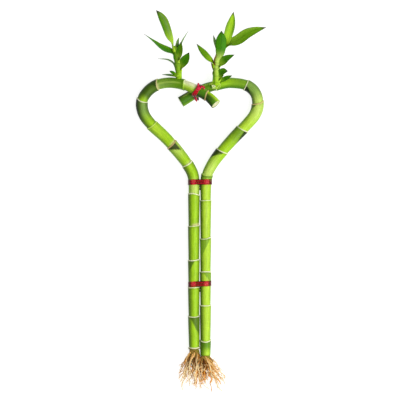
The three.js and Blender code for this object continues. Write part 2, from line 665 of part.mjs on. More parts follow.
// A bunch of roots on its crown, which starts in line with the cane and then sinks a little.
function rootsSolid(bunch) {
  const { point, along } = frameAt(curveThrough(bunch.cane.centreLine), 0);
  const top = point.clone().addScaledVector(along, -GAP);
  const middle = top.clone().addScaledVector(along, -bunch.crown / 2);
  const bottom = top.clone().addScaledVector(along, -bunch.crown);
  bottom.add(new THREE.Vector3(bunch.side * CROWN_LEAN, 0, -CROWN_LEAN));
  const crown = curveThrough([top, middle, bottom].map((place) => place.toArray()));
  const length = crown.getLength();
  const sections = CROWN_SHAPE.map(([part, size]) => ({ at: part * length, radius: bunch.radius * size }));
  const random = seeded(bunch.seed);
  const solids = [tube(crown, sections, CROWN_SIDES)];
  for (let number = 0; number < ROOT_COUNT; number += 1) {
    const line = rootLine(bunch, crown, number, random);
    const reach = line.getLength();
    const stations = [];
    for (let step = 0; step <= ROOT_STEPS; step += 1) {
      const part = step / ROOT_STEPS;
      stations.push({ at: reach * part, radius: mix(ROOT_RADIUS, ROOT_TIP_RADIUS, part) });
    }
    solids.push(tube(line, stations, ROOT_SIDES));
  }
  return clearOfCanes(solids.reduce((sum, solid) => sum.add(solid)));
}

// ---------------------------------------------------------------------------------------------
// Parts
// ---------------------------------------------------------------------------------------------

const group = new THREE.Group();

// Adds one named piece with its own material.
function addPiece(name, solid, color, roughness) {
  const material = new THREE.MeshStandardMaterial({ color, roughness, metalness: 0 });
  const mesh = new THREE.Mesh(toGeometry(solid), material);
  mesh.name = name;
  group.add(mesh);
}

addPiece('cane_left', caneSolid(LEFT_CANE), COLORS.leftCane, CANE_ROUGHNESS);
addPiece('cane_right', caneSolid(RIGHT_CANE), COLORS.rightCane, CANE_ROUGHNESS);
addPiece('shoot_left', shootSolid(LEFT_SHOOT), COLORS.leftShoot, LEAF_ROUGHNESS);
addPiece('shoot_right', shootSolid(RIGHT_SHOOT), COLORS.rightShoot, LEAF_ROUGHNESS);
addPiece('roots_left', rootsSolid(LEFT_ROOTS), COLORS.roots, ROOT_ROUGHNESS);
addPiece('roots_right', rootsSolid(RIGHT_ROOTS), COLORS.roots, ROOT_ROUGHNESS);
addPiece('tie_lower', bandSolid(LOWER_BAND_Y), COLORS.ties, WIRE_ROUGHNESS);
addPiece('tie_upper', bandSolid(UPPER_BAND_Y), COLORS.ties, WIRE_ROUGHNESS);
addPiece('tie_crossing', crossingTieSolid(), COLORS.ties, WIRE_ROUGHNESS);

export default group;
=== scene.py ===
"""A heart-shaped lucky bamboo lying on its back: canes, leafy shoots, bare roots and red wire ties.

Shapes are worked out in millimetres and finished in metres, in the CAD model's own frame: +Y runs
from the roots to the leaves, +X to the right and +Z up from the surface.
"""

import logging
import math
import random
from dataclasses import dataclass, replace
from enum import Enum
from functools import cached_property
from typing import Callable, Iterable, Iterator, Optional, Sequence

import bmesh
import bpy
import numpy as np
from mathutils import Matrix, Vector


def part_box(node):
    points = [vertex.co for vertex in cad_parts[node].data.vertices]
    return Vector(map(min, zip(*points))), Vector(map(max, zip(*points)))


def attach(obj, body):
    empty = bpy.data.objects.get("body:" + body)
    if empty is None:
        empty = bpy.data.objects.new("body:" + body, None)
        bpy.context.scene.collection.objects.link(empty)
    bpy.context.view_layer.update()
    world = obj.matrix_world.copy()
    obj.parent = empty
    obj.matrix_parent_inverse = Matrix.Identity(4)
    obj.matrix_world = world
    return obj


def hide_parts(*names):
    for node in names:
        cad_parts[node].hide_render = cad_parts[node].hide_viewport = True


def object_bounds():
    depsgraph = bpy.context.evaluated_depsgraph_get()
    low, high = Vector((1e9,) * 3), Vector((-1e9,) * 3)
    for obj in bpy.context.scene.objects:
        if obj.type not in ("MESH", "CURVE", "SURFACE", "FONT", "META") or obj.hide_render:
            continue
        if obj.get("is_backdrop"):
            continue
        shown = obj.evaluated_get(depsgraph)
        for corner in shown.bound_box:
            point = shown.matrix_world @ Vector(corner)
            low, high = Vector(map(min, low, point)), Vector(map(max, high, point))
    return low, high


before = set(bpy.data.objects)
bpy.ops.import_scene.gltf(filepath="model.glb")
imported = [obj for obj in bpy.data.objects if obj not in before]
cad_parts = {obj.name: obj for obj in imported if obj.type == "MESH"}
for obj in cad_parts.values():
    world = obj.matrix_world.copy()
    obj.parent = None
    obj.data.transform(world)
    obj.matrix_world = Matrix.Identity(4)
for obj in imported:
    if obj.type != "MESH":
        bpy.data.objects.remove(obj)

CAD_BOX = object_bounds()

MM = 0.001
UP = Vector((0.0, 0.0, 1.0))

# How finely a route is worked out: points between two of its knots, the least gap between knots, and
# the step over which its direction is measured, which is shorter on a short route.
SPAN_SAMPLES = 40
SHORTEST_GAP = 0.001
TANGENT_STEP = 0.2
TANGENT_PARTS = 50
PLACE_DIGITS = 3

# The curve between a screen's colours and light, and how much of a colour's light a surface takes so
# that the studio shows that colour.
SCREEN_KNEE = 0.04045
SCREEN_SLOPE = 12.92
SCREEN_OFFSET = 0.055
SCREEN_POWER = 2.4
DIM = 0.8

# The range that noise mostly keeps to.
NOISE_SPAN = (0.3, 0.7)

Point = tuple[float, float, float]
Pair = tuple[float, float]
Pairs = Sequence[Pair]
Guide = tuple[float, ...]
Colour = np.ndarray
Mesh = bmesh.types.BMesh
Socket = bpy.types.NodeSocket
Material = bpy.types.Material

LOG = logging.getLogger("lucky_bamboo")


# ------------------------------------------------------------------------------------------------
# Small helpers
# ------------------------------------------------------------------------------------------------


def mix(a: float, b: float, part: float) -> float:
    """The number, vector or colour at a part of the way from a to b."""
    return a + (b - a) * part


def smooth(low: float, high: float, value: float) -> float:
    """An even step from 0 at low to 1 at high."""
    part = min(max((value - low) / (high - low), 0.0), 1.0)
    return part * part * (3.0 - 2.0 * part)


def hump(offset: float, width: float) -> float:
    """A weight that is 1 where the offset is 0 and has mostly faded at the width on either side."""
    return math.exp(-((offset / width) ** 2))


def even_steps(total: float, count: int) -> list[float]:
    """The places that split a length into equal steps, with both ends."""
    return [total * number / count for number in range(count + 1)]


def value_at(pairs: Pairs, place: float) -> float:
    """The value at a place in a rising list of (place, value) pairs."""
    places, values = zip(*pairs)
    return float(np.interp(place, places, values))


def linear(red: float, green: float, blue: float) -> Colour:
    """A screen colour as the light values that shaders take.

    Args:
        red: Its red, from 0 to 255.
        green: Its green, the same.
        blue: Its blue, the same.

    Returns:
        The three values.
    """
    screen = np.array([red, green, blue], float) / 255.0
    bright = ((screen + SCREEN_OFFSET) / (1.0 + SCREEN_OFFSET)) ** SCREEN_POWER
    return np.where(screen <= SCREEN_KNEE, screen / SCREEN_SLOPE, bright)


class Tone(Enum):
    """The colours of the plant and its ties, as they look from above."""

    CREAM = (250, 250, 206)
    PALE = (203, 232, 104)
    BRIGHT = (190, 230, 58)
    LIME = (172, 220, 32)
    GRASS = (128, 172, 36)
    IVY = (78, 134, 16)
    MOSS = (84, 118, 24)
    DEEP = (54, 84, 14)
    BOTTLE = (24, 42, 8)
    SAGE = (132, 170, 72)
    FERN = (104, 156, 14)
    JADE = (66, 140, 4)
    # MIST is the grey-green of some leaves and also the leaves' painted sheen.
    MIST = (122, 160, 92)
    OLIVE = (128, 128, 34)
    TAN = (216, 184, 124)
    HUSK = (226, 214, 150)
    STRAW = (255, 230, 176)
    GOLD = (230, 176, 92)
    AMBER = (232, 148, 34)
    BROWN = (122, 74, 28)
    UMBER = (84, 44, 16)
    DUSK = (58, 42, 38)
    # RED is the wire's coat; ROSE is only its painted highlight, MAROON its painted shade and its random
    # darker mottling.
    RED = (214, 6, 34)
    ROSE = (244, 40, 74)
    MAROON = (78, 0, 4)

    def __init__(self, red: int, green: int, blue: int) -> None:
        """Works out the light values of a surface that shows this colour in the studio."""
        self.light = linear(red, green, blue) * DIM


@dataclass(frozen=True)
class Section:
    """Where a route is at one place, with its directions."""

    point: Vector
    side: Vector
    up: Vector
    along: Vector

    def out(self, angle: float) -> Vector:
        """The direction out of the route, at an angle round it from its upper side."""
        return self.up * math.cos(angle) + self.side * math.sin(angle)


class Route:
    """A smooth line through points, measured by its own length.

    A point may carry a second point's worth of numbers, which is then the direction that counts as
    up there. The line is a centripetal Catmull-Rom curve.
    """

    def __init__(self, points: Iterable[Sequence[float]], closed: bool = False) -> None:
        """Works out the line.

        Args:
            points: The points, in millimetres.
            closed: Whether the line returns to its first point.
        """
        knots = np.array([tuple(point) for point in points], float)
        if closed:
            knots = np.vstack([knots[-1:], knots, knots[:2]])
        else:
            knots = np.vstack([2 * knots[:1] - knots[1:2], knots, 2 * knots[-1:] - knots[-2:-1]])
        spans = [self._span(*knots[k : k + 4]) for k in range(len(knots) - 3)]
        self.data = np.vstack([span[:-1] for span in spans] + [knots[-2:-1]])
        steps = np.linalg.norm(np.diff(self.data[:, :3], axis=0), axis=1)
        self.lengths = np.concatenate([[0.0], np.cumsum(steps)])
        self.total = float(self.lengths[-1])

    @staticmethod
    def _span(before: np.ndarray, first: np.ndarray, last: np.ndarray, after: np.ndarray) -> np.ndarray:
        """The curve between two of its knots.

        Args:
            before: The knot before them.
            first: The knot where this part begins.
            last: The knot where it ends.
            after: The knot after them.

        Returns:
            Points from first to last, both included.
        """
        gaps = [max(float(np.linalg.norm((b - a)[:3])) ** 0.5, SHORTEST_GAP)
                for a, b in ((before, first), (first, last), (last, after))]
        run = (last - first) / gaps[1]
        start = (first - before) / gaps[0] - (last - before) / (gaps[0] + gaps[1]) + run
        end = run - (after - first) / (gaps[1] + gaps[2]) + (after - last) / gaps[2]
        start, end = start * gaps[1], end * gaps[1]
        t = np.linspace(0.0, 1.0, SPAN_SAMPLES + 1)[:, None]
        return (first + start * t + (3 * (last - first) - 2 * start - end) * t**2
                + (2 * (first - last) + start + end) * t**3)

    def numbers(self, at: float) -> np.ndarray:
        """All the numbers that the line carries at a distance along it."""
        return np.array([np.interp(at, self.lengths, column) for column in self.data.T])

    def point(self, at: float) -> Vector:
        """The point at a distance along the line."""
        return Vector(self.numbers(at)[:3])

    def section(self, at: float) -> Section:
        """The line's point and directions at a distance along it.

        Args:
            at: The distance.

        Returns:
            The section there.
        """
        step = min(TANGENT_STEP, self.total / TANGENT_PARTS)
        low, high = max(at - step, 0.0), min(at + step, self.total)
        along = (self.point(high) - self.point(low)).normalized()
        numbers = self.numbers(at)
        upper = Vector(numbers[3:6]) if len(numbers) > 3 else UP
        side = along.cross(upper).normalized()
        return Section(Vector(numbers[:3]), side, side.cross(along), along)

    def at_y(self, y: float) -> float:
        """How far along the line its lower half crosses a place along Y."""
        half = len(self.lengths) // 2
        return float(np.interp(y, self.data[:half, 1], self.lengths[:half]))


@dataclass(frozen=True)
class Station:
    """One ring of a tube: its place along the route, its radius and its oval's height."""

    at: float
    radius: float
    oval: float = 1.0


Shift = Callable[[float, float, float], float]


@dataclass(frozen=True)
class Tube:
    """A closed round skin, extruded straight from station to station and then bent to its route."""

    FOOT_CAP = 1
    HEAD_CAP = 2

    route: Route
    stations: Sequence[Station]
    sides: int

    def build(self, shift: Optional[Shift] = None) -> Mesh:
        """Builds the tube.

        Args:
            shift: How far a point moves along the tube, from its place across the ring, its place
                up the ring (both -1 to 1) and its distance along.

        Returns:
            The tube, with its straight form in the layer "straight" and its two ends in "end".
        """
        bm = bmesh.new()
        straight = bm.verts.layers.float_vector.new("straight")
        bm.verts.layers.float_color.new("skin")
        end = bm.faces.layers.int.new("end")
        ring = bmesh.ops.create_circle(bm, cap_ends=True, segments=self.sides, radius=1.0)["verts"]
        foot = next(iter(bm.faces))
        circle = [vert.co.copy() for vert in ring]
        self._set(ring, circle, self.stations[0], straight, shift)
        edges = bm.edges[:]
        for station in self.stations[1:]:
            made = bmesh.ops.extrude_edge_only(bm, edges=edges)["geom"]
            fresh = {item for item in made if isinstance(item, bmesh.types.BMVert)}
            edges = [item for item in made if isinstance(item, bmesh.types.BMEdge)
                     and item.verts[0] in fresh and item.verts[1] in fresh]
            ring = [self._above(vert, fresh) for vert in ring]
            self._set(ring, circle, station, straight, shift)
        head = bmesh.ops.contextual_create(bm, geom=edges)["faces"][0]
        for face in bm.faces:
            face[end] = 0
        foot[end] = self.FOOT_CAP
        head[end] = self.HEAD_CAP
        return bm

    @staticmethod
    def _above(vert: bmesh.types.BMVert, fresh: set) -> bmesh.types.BMVert:
        """The new corner that was extruded from vert."""
        return next(edge.other_vert(vert) for edge in vert.link_edges if edge.other_vert(vert) in fresh)

    @staticmethod
    def _set(ring: Sequence[bmesh.types.BMVert], circle: Sequence[Vector], station: Station,
             straight: object, shift: Optional[Shift]) -> None:
        """Gives a ring its size and place along the straight tube.

        Args:
            ring: The ring's corners.
            circle: Where they lie on a circle of radius 1.
            station: The ring's place and size.
            straight: The layer that keeps the unshifted place.
            shift: How far a point moves along the tube.
        """
        for vert, corner in zip(ring, circle):
            place = Vector((corner.x * station.radius, corner.y * station.radius * station.oval, station.at))
            vert[straight] = place
            if shift:
                place.z += shift(corner.x, corner.y, station.at)
            vert.co = place

    def bend(self, bm: Mesh) -> None:
        """Moves every point of a straight tube to its place on the route.

        Args:
            bm: The straight tube.
        """
        co = np.array([vert.co[:] for vert in bm.verts])
        at = np.clip(co[:, 2], 0.0, self.route.total)
        beyond = co[:, 2] - at
        distances, inverse = np.unique(np.round(at, PLACE_DIGITS), return_inverse=True)
        sections = [self.route.section(float(distance)) for distance in distances]
        for vert, number, extra in zip(list(bm.verts), inverse, beyond):
            section = sections[number]
            vert.co = (section.point + section.side * vert.co.x + section.up * vert.co.y
                       + section.along * float(extra))

    def finished(self) -> Mesh:
        """Builds and bends the tube.

        Returns:
            The tube on its route.
        """
        bm = self.build()
        self.bend(bm)
        return bm


def paint(bm: Mesh, colour: Callable[[Vector], Colour]) -> None:
    """Colours every point from its place in the straight form.

    Args:
        bm: A mesh with the layers "straight" and "skin".
        colour: Gives the colour at a place.
    """
    straight = bm.verts.layers.float_vector["straight"]
    skin = bm.verts.layers.float_color["skin"]
    for vert in bm.verts:
        vert[skin] = (*colour(vert[straight]), 1.0)


class Bundle:
    """Several shapes gathered into one."""

    def __init__(self) -> None:
        """Starts empty."""
        self.bm = bmesh.new()

    def add(self, part: Mesh) -> None:
        """Adds a shape.

        Args:
            part: The shape, which is freed.
        """
        mesh = bpy.data.meshes.new("part")
        part.to_mesh(mesh)
        part.free()
        self.bm.from_mesh(mesh)
        bpy.data.meshes.remove(mesh)


@dataclass(frozen=True)
class Piece:
    """A named piece of the plant and the CAD node that it stands for."""

    name: str
    node: str
    slot: str

    def make(self, bm: Mesh, *materials: Material) -> bpy.types.Object:
        """Turns a shape in millimetres into a finished object that stands for its node. What would
        dip below the surface is kept on it.

        Args:
            bm: The shape, which is freed.
            materials: The materials, in the order of the faces' material numbers.

        Returns:
            The object.
        """
        for vert in bm.verts:
            vert.co.z = max(vert.co.z, 0.0)
        bmesh.ops.recalc_face_normals(bm, faces=bm.faces[:])
        bmesh.ops.scale(bm, vec=(MM, MM, MM), verts=bm.verts[:])
        for face in bm.faces:
            face.smooth = True
        mesh = bpy.data.meshes.new(self.name)
        bm.to_mesh(mesh)
        bm.free()
        for material in materials:
            mesh.materials.append(material)
        piece = bpy.data.objects.new(self.name, mesh)
        bpy.context.scene.collection.objects.link(piece)
        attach(piece, "root")
        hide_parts(self.node)
        LOG.info("%s: %d faces", self.name, len(mesh.polygons))
        return piece


# ------------------------------------------------------------------------------------------------
# Finishes
# ------------------------------------------------------------------------------------------------


class Recipe:
    """A material's nodes, added one by one."""

    def __init__(self, name: str) -> None:
        """Starts a material with its shader.

        Args:
            name: The material's name.
        """
        self.material = bpy.data.materials.new(name)
        self.material.use_nodes = True
        self.tree = self.material.node_tree
        self.shader = next(node for node in self.tree.nodes if node.type == "BSDF_PRINCIPLED")

    def node(self, kind: str, inputs: Optional[dict] = None, **settings: object) -> bpy.types.Node:
        """Adds a node.

        Args:
            kind: The node's type.
            inputs: Values or links for its sockets, by name or number.
            settings: Its settings.

        Returns:
            The node.
        """
        made = self.tree.nodes.new(kind)
        for key, value in settings.items():
            setattr(made, key, value)
        for key, value in (inputs or {}).items():
            self.join(value, made.inputs[key])
        return made

    def join(self, value: object, socket: Socket) -> None:
        """Links an output to a socket, or sets the socket's own value.

        Args:
            value: The output or the value.
            socket: The socket.
        """
        if isinstance(value, Socket):
            self.tree.links.new(value, socket)
        else:
            socket.default_value = value

    def layer(self, name: str, output: str = "Vector") -> Socket:
        """What the mesh's own layer holds."""
        return self.node("ShaderNodeAttribute", attribute_name=name).outputs[output]

    def stretched(self, vector: Socket, scale: Point) -> Socket:
        """Coordinates, scaled along their axes."""
        return self.node("ShaderNodeMapping", {"Vector": vector, "Scale": scale}).outputs["Vector"]

    def noise(self, place: Socket, grain: "Grain") -> Socket:
        """A grain's noise.

        Args:
            place: The coordinates.
            grain: The grain.

        Returns:
            The noise, from about 0.3 to 0.7.
        """
        return self.node("ShaderNodeTexNoise", {
            "Vector": self.stretched(place, grain.stretch), "Scale": grain.scale, "Detail": grain.detail,
            "Roughness": grain.roughness}).outputs["Fac"]

    def dots(self, place: Socket, scale: float) -> Socket:
        """The distance from the nearest of many scattered points."""
        return self.node("ShaderNodeTexVoronoi", {"Vector": place, "Scale": scale}).outputs["Distance"]

    def span(self, value: Socket, source: Pair, target: Pair) -> Socket:
        """A value's range moved to another range.

        Args:
            value: The value.
            source: Its range.
            target: The new range.

        Returns:
            The moved value.
        """
        return self.node("ShaderNodeMapRange", {
            "Value": value, "From Min": source[0], "From Max": source[1], "To Min": target[0],
            "To Max": target[1]}).outputs["Result"]

    def blend(self, factor: object, first: object, second: object, mode: str = "MIX") -> Socket:
        """Two colours mixed.

        Args:
            factor: How much of the second colour shows.
            first: The first colour.
            second: The second colour.
            mode: How they are mixed.

        Returns:
            The mixed colour.
        """
        made = self.node("ShaderNodeMix", data_type="RGBA", blend_type=mode)
        for value, number in ((factor, 0), (first, 6), (second, 7)):
            self.join(value, made.inputs[number])
        return made.outputs[2]

    def sum(self, first: object, second: object, mode: str = "ADD") -> Socket:
        """Two values added, or joined in another way."""
        return self.node("ShaderNodeMath", {0: first, 1: second}, operation=mode).outputs["Value"]

    def shaded(self, colour: Socket, *grains: tuple[Socket, "Grain"]) -> Socket:
        """A colour made lighter and darker by grains.

        Args:
            colour: The colour.
            grains: The noise of each grain, and the grain.

        Returns:
            The shaded colour.
        """
        shades = [self.span(noise, NOISE_SPAN, grain.shade) for noise, grain in grains]
        shade = shades[0]
        for other in shades[1:]:
            shade = self.sum(shade, other, "MULTIPLY")
        grey = self.node("ShaderNodeCombineColor", {0: shade, 1: shade, 2: shade}).outputs["Color"]
        return self.blend(1.0, colour, grey, "MULTIPLY")

    def bump(self, height: Socket, relief: Pair) -> Socket:
        """A surface's fine relief, from its strength and its height in metres."""
        return self.node("ShaderNodeBump", {
            "Height": height, "Strength": relief[0], "Distance": relief[1]}).outputs["Normal"]

    def set(self, **sockets: object) -> None:
        """Sets or links the shader's sockets, named with _ for a space."""
        for name, value in sockets.items():
            self.join(value, self.shader.inputs[name.replace("_", " ").title().replace("Ior", "IOR")])


def rgba(colour: Colour) -> tuple[float, float, float, float]:
    """A colour as a socket takes it."""
    return (*[float(part) for part in colour], 1.0)


@dataclass(frozen=True)
class Grain:
    """One layer of noise in a finish: how its coordinates are scaled along their axes, its scale,
    detail and roughness, and the shades between which it takes the colour."""

    stretch: Point
    scale: float
    detail: float = 2.0
    roughness: float = 0.5
    shade: Pair = (1.0, 1.0)


@dataclass(frozen=True)
class CaneSkin:
    """The waxy green skin of a cane: fine lengthwise streaks, faint cross ribs and small specks."""

    streaks: Grain = Grain((1.0, 1.0, 0.045), 2.2, 4.0, 0.6, (0.74, 1.26))
    fine: Grain = Grain((1.0, 1.0, 0.02), 7.0, shade=(0.95, 1.05))
    ribs: Grain = Grain((0.12, 0.12, 1.0), 1.5, shade=(0.94, 1.06))
    clouds: Grain = Grain((1.0, 1.0, 0.4), 0.35, 3.0, 0.6, (0.93, 1.07))
    speck_stretch: Point = (1.0, 1.0, 0.55)
    speck_scale: float = 0.9
    speck_edge: Pair = (0.05, 0.1)
    speck_strength: float = 0.35
    roughness: Pair = (0.32, 0.46)
    specular: float = 0.12
    wax: float = 0.03
    wax_roughness: float = 0.2
    relief: Pair = (0.25, 0.0001)

    def material(self) -> Material:
        """The finish, on the layers "skin" and "straight".

        Returns:
            The material.
        """
        recipe = Recipe("cane_skin")
        place = recipe.layer("straight")
        streaks = recipe.noise(place, self.streaks)
        fine = recipe.noise(place, self.fine)
        ribs = recipe.noise(place, self.ribs)
        clouds = recipe.noise(place, self.clouds)
        shaded = recipe.shaded(recipe.layer("skin", "Color"), (streaks, self.streaks), (fine, self.fine),
                               (ribs, self.ribs), (clouds, self.clouds))
        dots = recipe.dots(recipe.stretched(place, self.speck_stretch), self.speck_scale)
        specks = recipe.span(dots, self.speck_edge, (self.speck_strength, 0.0))
        height = recipe.sum(recipe.sum(fine, streaks), ribs)
        recipe.set(base_color=recipe.blend(specks, shaded, rgba(Tone.DEEP.light)),
                   roughness=recipe.span(clouds, NOISE_SPAN, self.roughness),
                   specular_ior_level=self.specular, coat_weight=self.wax,
                   coat_roughness=self.wax_roughness, normal=recipe.bump(height, self.relief))
        return recipe.material


@dataclass(frozen=True)
class CutPith:
    """A sawn cane end: pale pith with small dots under a green rim."""

    radius: float = 5.0
    rim: Pair = (0.72, 0.86)
    grain: Grain = Grain((1.0, 1.0, 0.0), 3.0, 3.0, 0.6)
    grain_span: Pair = (0.35, 0.65)
    dot_scale: float = 1.7
    dot_edge: Pair = (0.08, 0.2)
    dot_strength: float = 0.6
    pale: Point = (226, 224, 186)
    dull: Point = (200, 194, 148)
    dot: Point = (150, 138, 84)
    green: Point = (206, 216, 148)
    roughness: float = 0.7
    specular: float = 0.25
    relief: Pair = (0.4, 0.0002)

    def material(self) -> Material:
        """The finish, on the layer "straight".

        Returns:
            The material.
        """
        recipe = Recipe("cut_pith")
        layer = recipe.layer("straight")
        place = recipe.stretched(layer, self.grain.stretch)
        reach = recipe.node("ShaderNodeVectorMath", {0: place}, operation="LENGTH").outputs["Value"]
        grain = recipe.noise(layer, self.grain)
        dots = recipe.dots(place, self.dot_scale)
        pith = recipe.blend(recipe.span(grain, self.grain_span, (0.0, 1.0)),
                            rgba(linear(*self.pale)), rgba(linear(*self.dull)))
        dotted = recipe.blend(recipe.span(dots, self.dot_edge, (self.dot_strength, 0.0)), pith,
                              rgba(linear(*self.dot)))
        rim = (self.radius * self.rim[0], self.radius * self.rim[1])
        ringed = recipe.blend(recipe.span(reach, rim, (0.0, 1.0)), dotted, rgba(linear(*self.green)))
        recipe.set(base_color=ringed, roughness=self.roughness, specular_ior_level=self.specular,
                   normal=recipe.bump(recipe.sum(grain, dots), self.relief))
        return recipe.material


@dataclass(frozen=True)
class LeafSkin:
    """A leaf or stalk: parallel veins, a satin upper side and a little light shining through."""

    veins: Grain = Grain((1.0, 0.03, 1.0), 3.4, 3.0, 0.6, (0.84, 1.16))
    clouds: Grain = Grain((1.0, 0.5, 1.0), 0.4, 3.0, 0.55, (0.9, 1.1))
    roughness: Pair = (0.33, 0.48)
    specular: float = 0.07
    glow: float = 0.1
    glow_radius: Point = (0.4, 0.6, 0.1)
    relief: Pair = (0.35, 0.00015)

    def material(self) -> Material:
        """The finish, on the layers "skin" and "straight".

        Returns:
            The material.
        """
        recipe = Recipe("leaf_skin")
        place = recipe.layer("straight")
        veins = recipe.noise(place, self.veins)
        clouds = recipe.noise(place, self.clouds)
        shaded = recipe.shaded(recipe.layer("skin", "Color"), (veins, self.veins), (clouds, self.clouds))
        recipe.set(base_color=shaded, roughness=recipe.span(clouds, NOISE_SPAN, self.roughness),
                   specular_ior_level=self.specular, subsurface_weight=self.glow,
                   subsurface_radius=self.glow_radius, subsurface_scale=MM,
                   normal=recipe.bump(veins, self.relief))
        return recipe.material


@dataclass(frozen=True)
class RootSkin:
    """Bare roots and the crown that they grow from: dry, fibrous and blotched."""

    fibres: Grain = Grain((1.0, 1.0, 0.12), 4.0, 3.0, 0.6, (0.8, 1.15))
    blotches: Grain = Grain((1.0, 1.0, 0.6), 0.9, 3.0, 0.6, (0.8, 1.15))
    roughness: float = 0.72
    specular: float = 0.1
    relief: Pair = (0.5, 0.0002)

    def material(self) -> Material:
        """The finish, on the layers "skin" and "straight".

        Returns:
            The material.
        """
        recipe = Recipe("root_skin")
        place = recipe.layer("straight")
        fibres = recipe.noise(place, self.fibres)
        blotches = recipe.noise(place, self.blotches)
        shaded = recipe.shaded(recipe.layer("skin", "Color"), (fibres, self.fibres),
                               (blotches, self.blotches))
        recipe.set(base_color=shaded, roughness=self.roughness, specular_ior_level=self.specular,
                   normal=recipe.bump(fibres, self.relief))
        return recipe.material


@dataclass(frozen=True)
class WireCoat:
    """Glossy red plastic coating on the tie wire."""

    clouds: Grain = Grain((1.0, 1.0, 0.3), 0.8)
    cloud_span: Pair = (0.35, 0.65)
    cloud_strength: float = 0.35
    grain: Grain = Grain((1.0, 1.0, 1.0), 9.0)
    roughness: Pair = (0.16, 0.28)
    specular: float = 0.18
    gloss: float = 0.08
    gloss_roughness: float = 0.1
    relief: Pair = (0.12, 0.00005)

    def material(self) -> Material:
        """The finish, on the layers "skin" and "straight".

        Returns:
            The material.
        """
        recipe = Recipe("red_wire_coat")
        place = recipe.layer("straight")
        grain = recipe.noise(place, self.grain)
        clouds = recipe.span(recipe.noise(place, self.clouds), self.cloud_span, (0.0, self.cloud_strength))
        recipe.set(base_color=recipe.blend(clouds, recipe.layer("skin", "Color"), rgba(Tone.MAROON.light)),
                   roughness=recipe.span(grain, NOISE_SPAN, self.roughness),
                   specular_ior_level=self.specular, coat_weight=self.gloss,
                   coat_roughness=self.gloss_roughness, normal=recipe.bump(grain, self.relief))
        return recipe.material


@dataclass(frozen=True)
class WireCore:
    """The bare steel of a cut wire end."""

    scratches: Grain = Grain((1.0, 1.0, 1.0), 14.0)
    light: Point = (150, 150, 150)
    dark: Point = (96, 94, 92)
    roughness: Pair = (0.3, 0.5)

    def material(self) -> Material:
        """The finish, on the layer "straight".

        Returns:
            The material.
        """
        recipe = Recipe("wire_core")
        scratches = recipe.noise(recipe.layer("straight"), self.scratches)
        steel = recipe.blend(scratches, rgba(linear(*self.light)), rgba(linear(*self.dark)))
        recipe.set(base_color=steel, metallic=1.0,
                   roughness=recipe.span(scratches, NOISE_SPAN, self.roughness))
        return recipe.material


# ------------------------------------------------------------------------------------------------
# Canes
# ------------------------------------------------------------------------------------------------


@dataclass(frozen=True)
class Patch:
    """A dark patch under a ring. It lies between "reach" and "edge" across the cane (-1 to 1), and
    narrows to the edge over its length."""

    edge: float
    reach: float
    length: float
    tone: Tone
    strength: float = 0.92
    inner_blur: Pair = (-0.07, 0.09)
    outer_blur: Pair = (-0.12, 0.1)

    def amount(self, across: float, below: float) -> float:
        """How much of the patch's tone shows at one place.

        Args:
            across: The place across the cane, from -1 to 1.
            below: How far the place lies below the ring.

        Returns:
            The tone's share, from 0 to 1.
        """
        border = mix(self.reach, self.edge, below / self.length)
        sign = 1.0 if self.edge > self.reach else -1.0
        inner = smooth(*self.inner_blur, sign * (across - border))
        outer = smooth(*self.outer_blur, sign * (self.edge - across))
        return self.strength * (inner * outer)


@dataclass(frozen=True)
class Skin:
    """A cane's colour at one place: its middle, its flank from "reach" on to -1 across, and its far
    flank towards +1, if that has a colour of its own. The flank's tone is mostly painted shade, on a
    few joints a lighter edge instead; the far flank's tone is painted shade."""

    middle: Tone
    flank: Tone
    reach: float = -0.15
    far: Optional[Tone] = None


@dataclass(frozen=True)
class Joint:
    """One joint of a cane, up to its ring: its length, the ring's slope and bow, and its colours."""

    length: float
    slope: float
    foot: Skin
    head: Skin
    change: Pair = (0.1, 0.9)
    patch: Optional[Patch] = None
    highlight_line: Optional[float] = None
    smear: float = 0.0
    scar: Tone = Tone.CREAM
    bow: float = 0.4
    scar_width: float = 0.85
    flank_end: float = -0.95
    own_far: Pair = (0.0, 1.0)

    def plain(self, across: float, part: float, wave: float, far_flank: Pair) -> Colour:
        """The skin's colour without its marks, with the painted shade of its flanks.

        Args:
            across: The place across the cane, from -1 to 1.
            part: The place in the joint, from 0 to 1.
            wave: How far the edge of the flank wanders there.
            far_flank: Where the far flank's painted shade begins and how much it shows, unless it has its
                own tone.

        Returns:
            The colour.
        """
        foot, head = self.foot, self.head
        turn = smooth(*self.change, part)
        middle = mix(foot.middle.light, head.middle.light, turn)
        flank = mix(foot.flank.light, head.flank.light, turn)
        far = mix((foot.far or foot.flank).light, (head.far or head.flank).light, turn)
        reach = mix(foot.reach, head.reach, turn) + wave
        far_reach, far_amount = self.own_far if head.far else far_flank
        # The flank's tone, mostly painted shade, then the far flank's painted shade.
        skin = mix(middle, flank, smooth(reach, self.flank_end, across))
        return mix(skin, far, far_amount * smooth(far_reach, 1.0, across))


@dataclass(frozen=True)
class Marks:
    """How the marks on a cane are drawn: how far they reach, in millimetres along the cane or in
    shares of a joint or of the cane's half width, and how much they colour it. Besides real marks they
    draw a pale line on the upper side, a painted highlight, and a dark band just under each ring, a
    painted shadow."""

    wander: float = 0.05
    wander_rate: float = 0.35
    highlight_width: float = 0.14
    highlight_ends: Pair = (0.15, 0.8)
    highlight_strength: float = 0.5
    smear_reach: Pair = (3.2, 1.2)
    smear_side: Pair = (-0.6, 0.0)
    shadow_place: float = 1.3
    shadow_width: float = 0.5
    shadow_strength: float = 0.3
    scar_uneven: float = 0.3
    scar_blur: float = 0.35
    scar_strength: Pair = (0.85, 0.15)
    scar_above: Pair = (0.5, 0.15)


# How far a ring stands out of the cane, by the distance along it.
RING_PROFILE = ((-1.7, 0.29), (-1.0, 0.32), (-0.55, 0.4), (-0.25, 0.49), (0.0, 0.5), (0.2, 0.36),
                (0.4, 0.0), (0.6, -0.3), (0.95, -0.36), (1.7, -0.3))
RING_REACH = (RING_PROFILE[0][0], RING_PROFILE[-1][0])


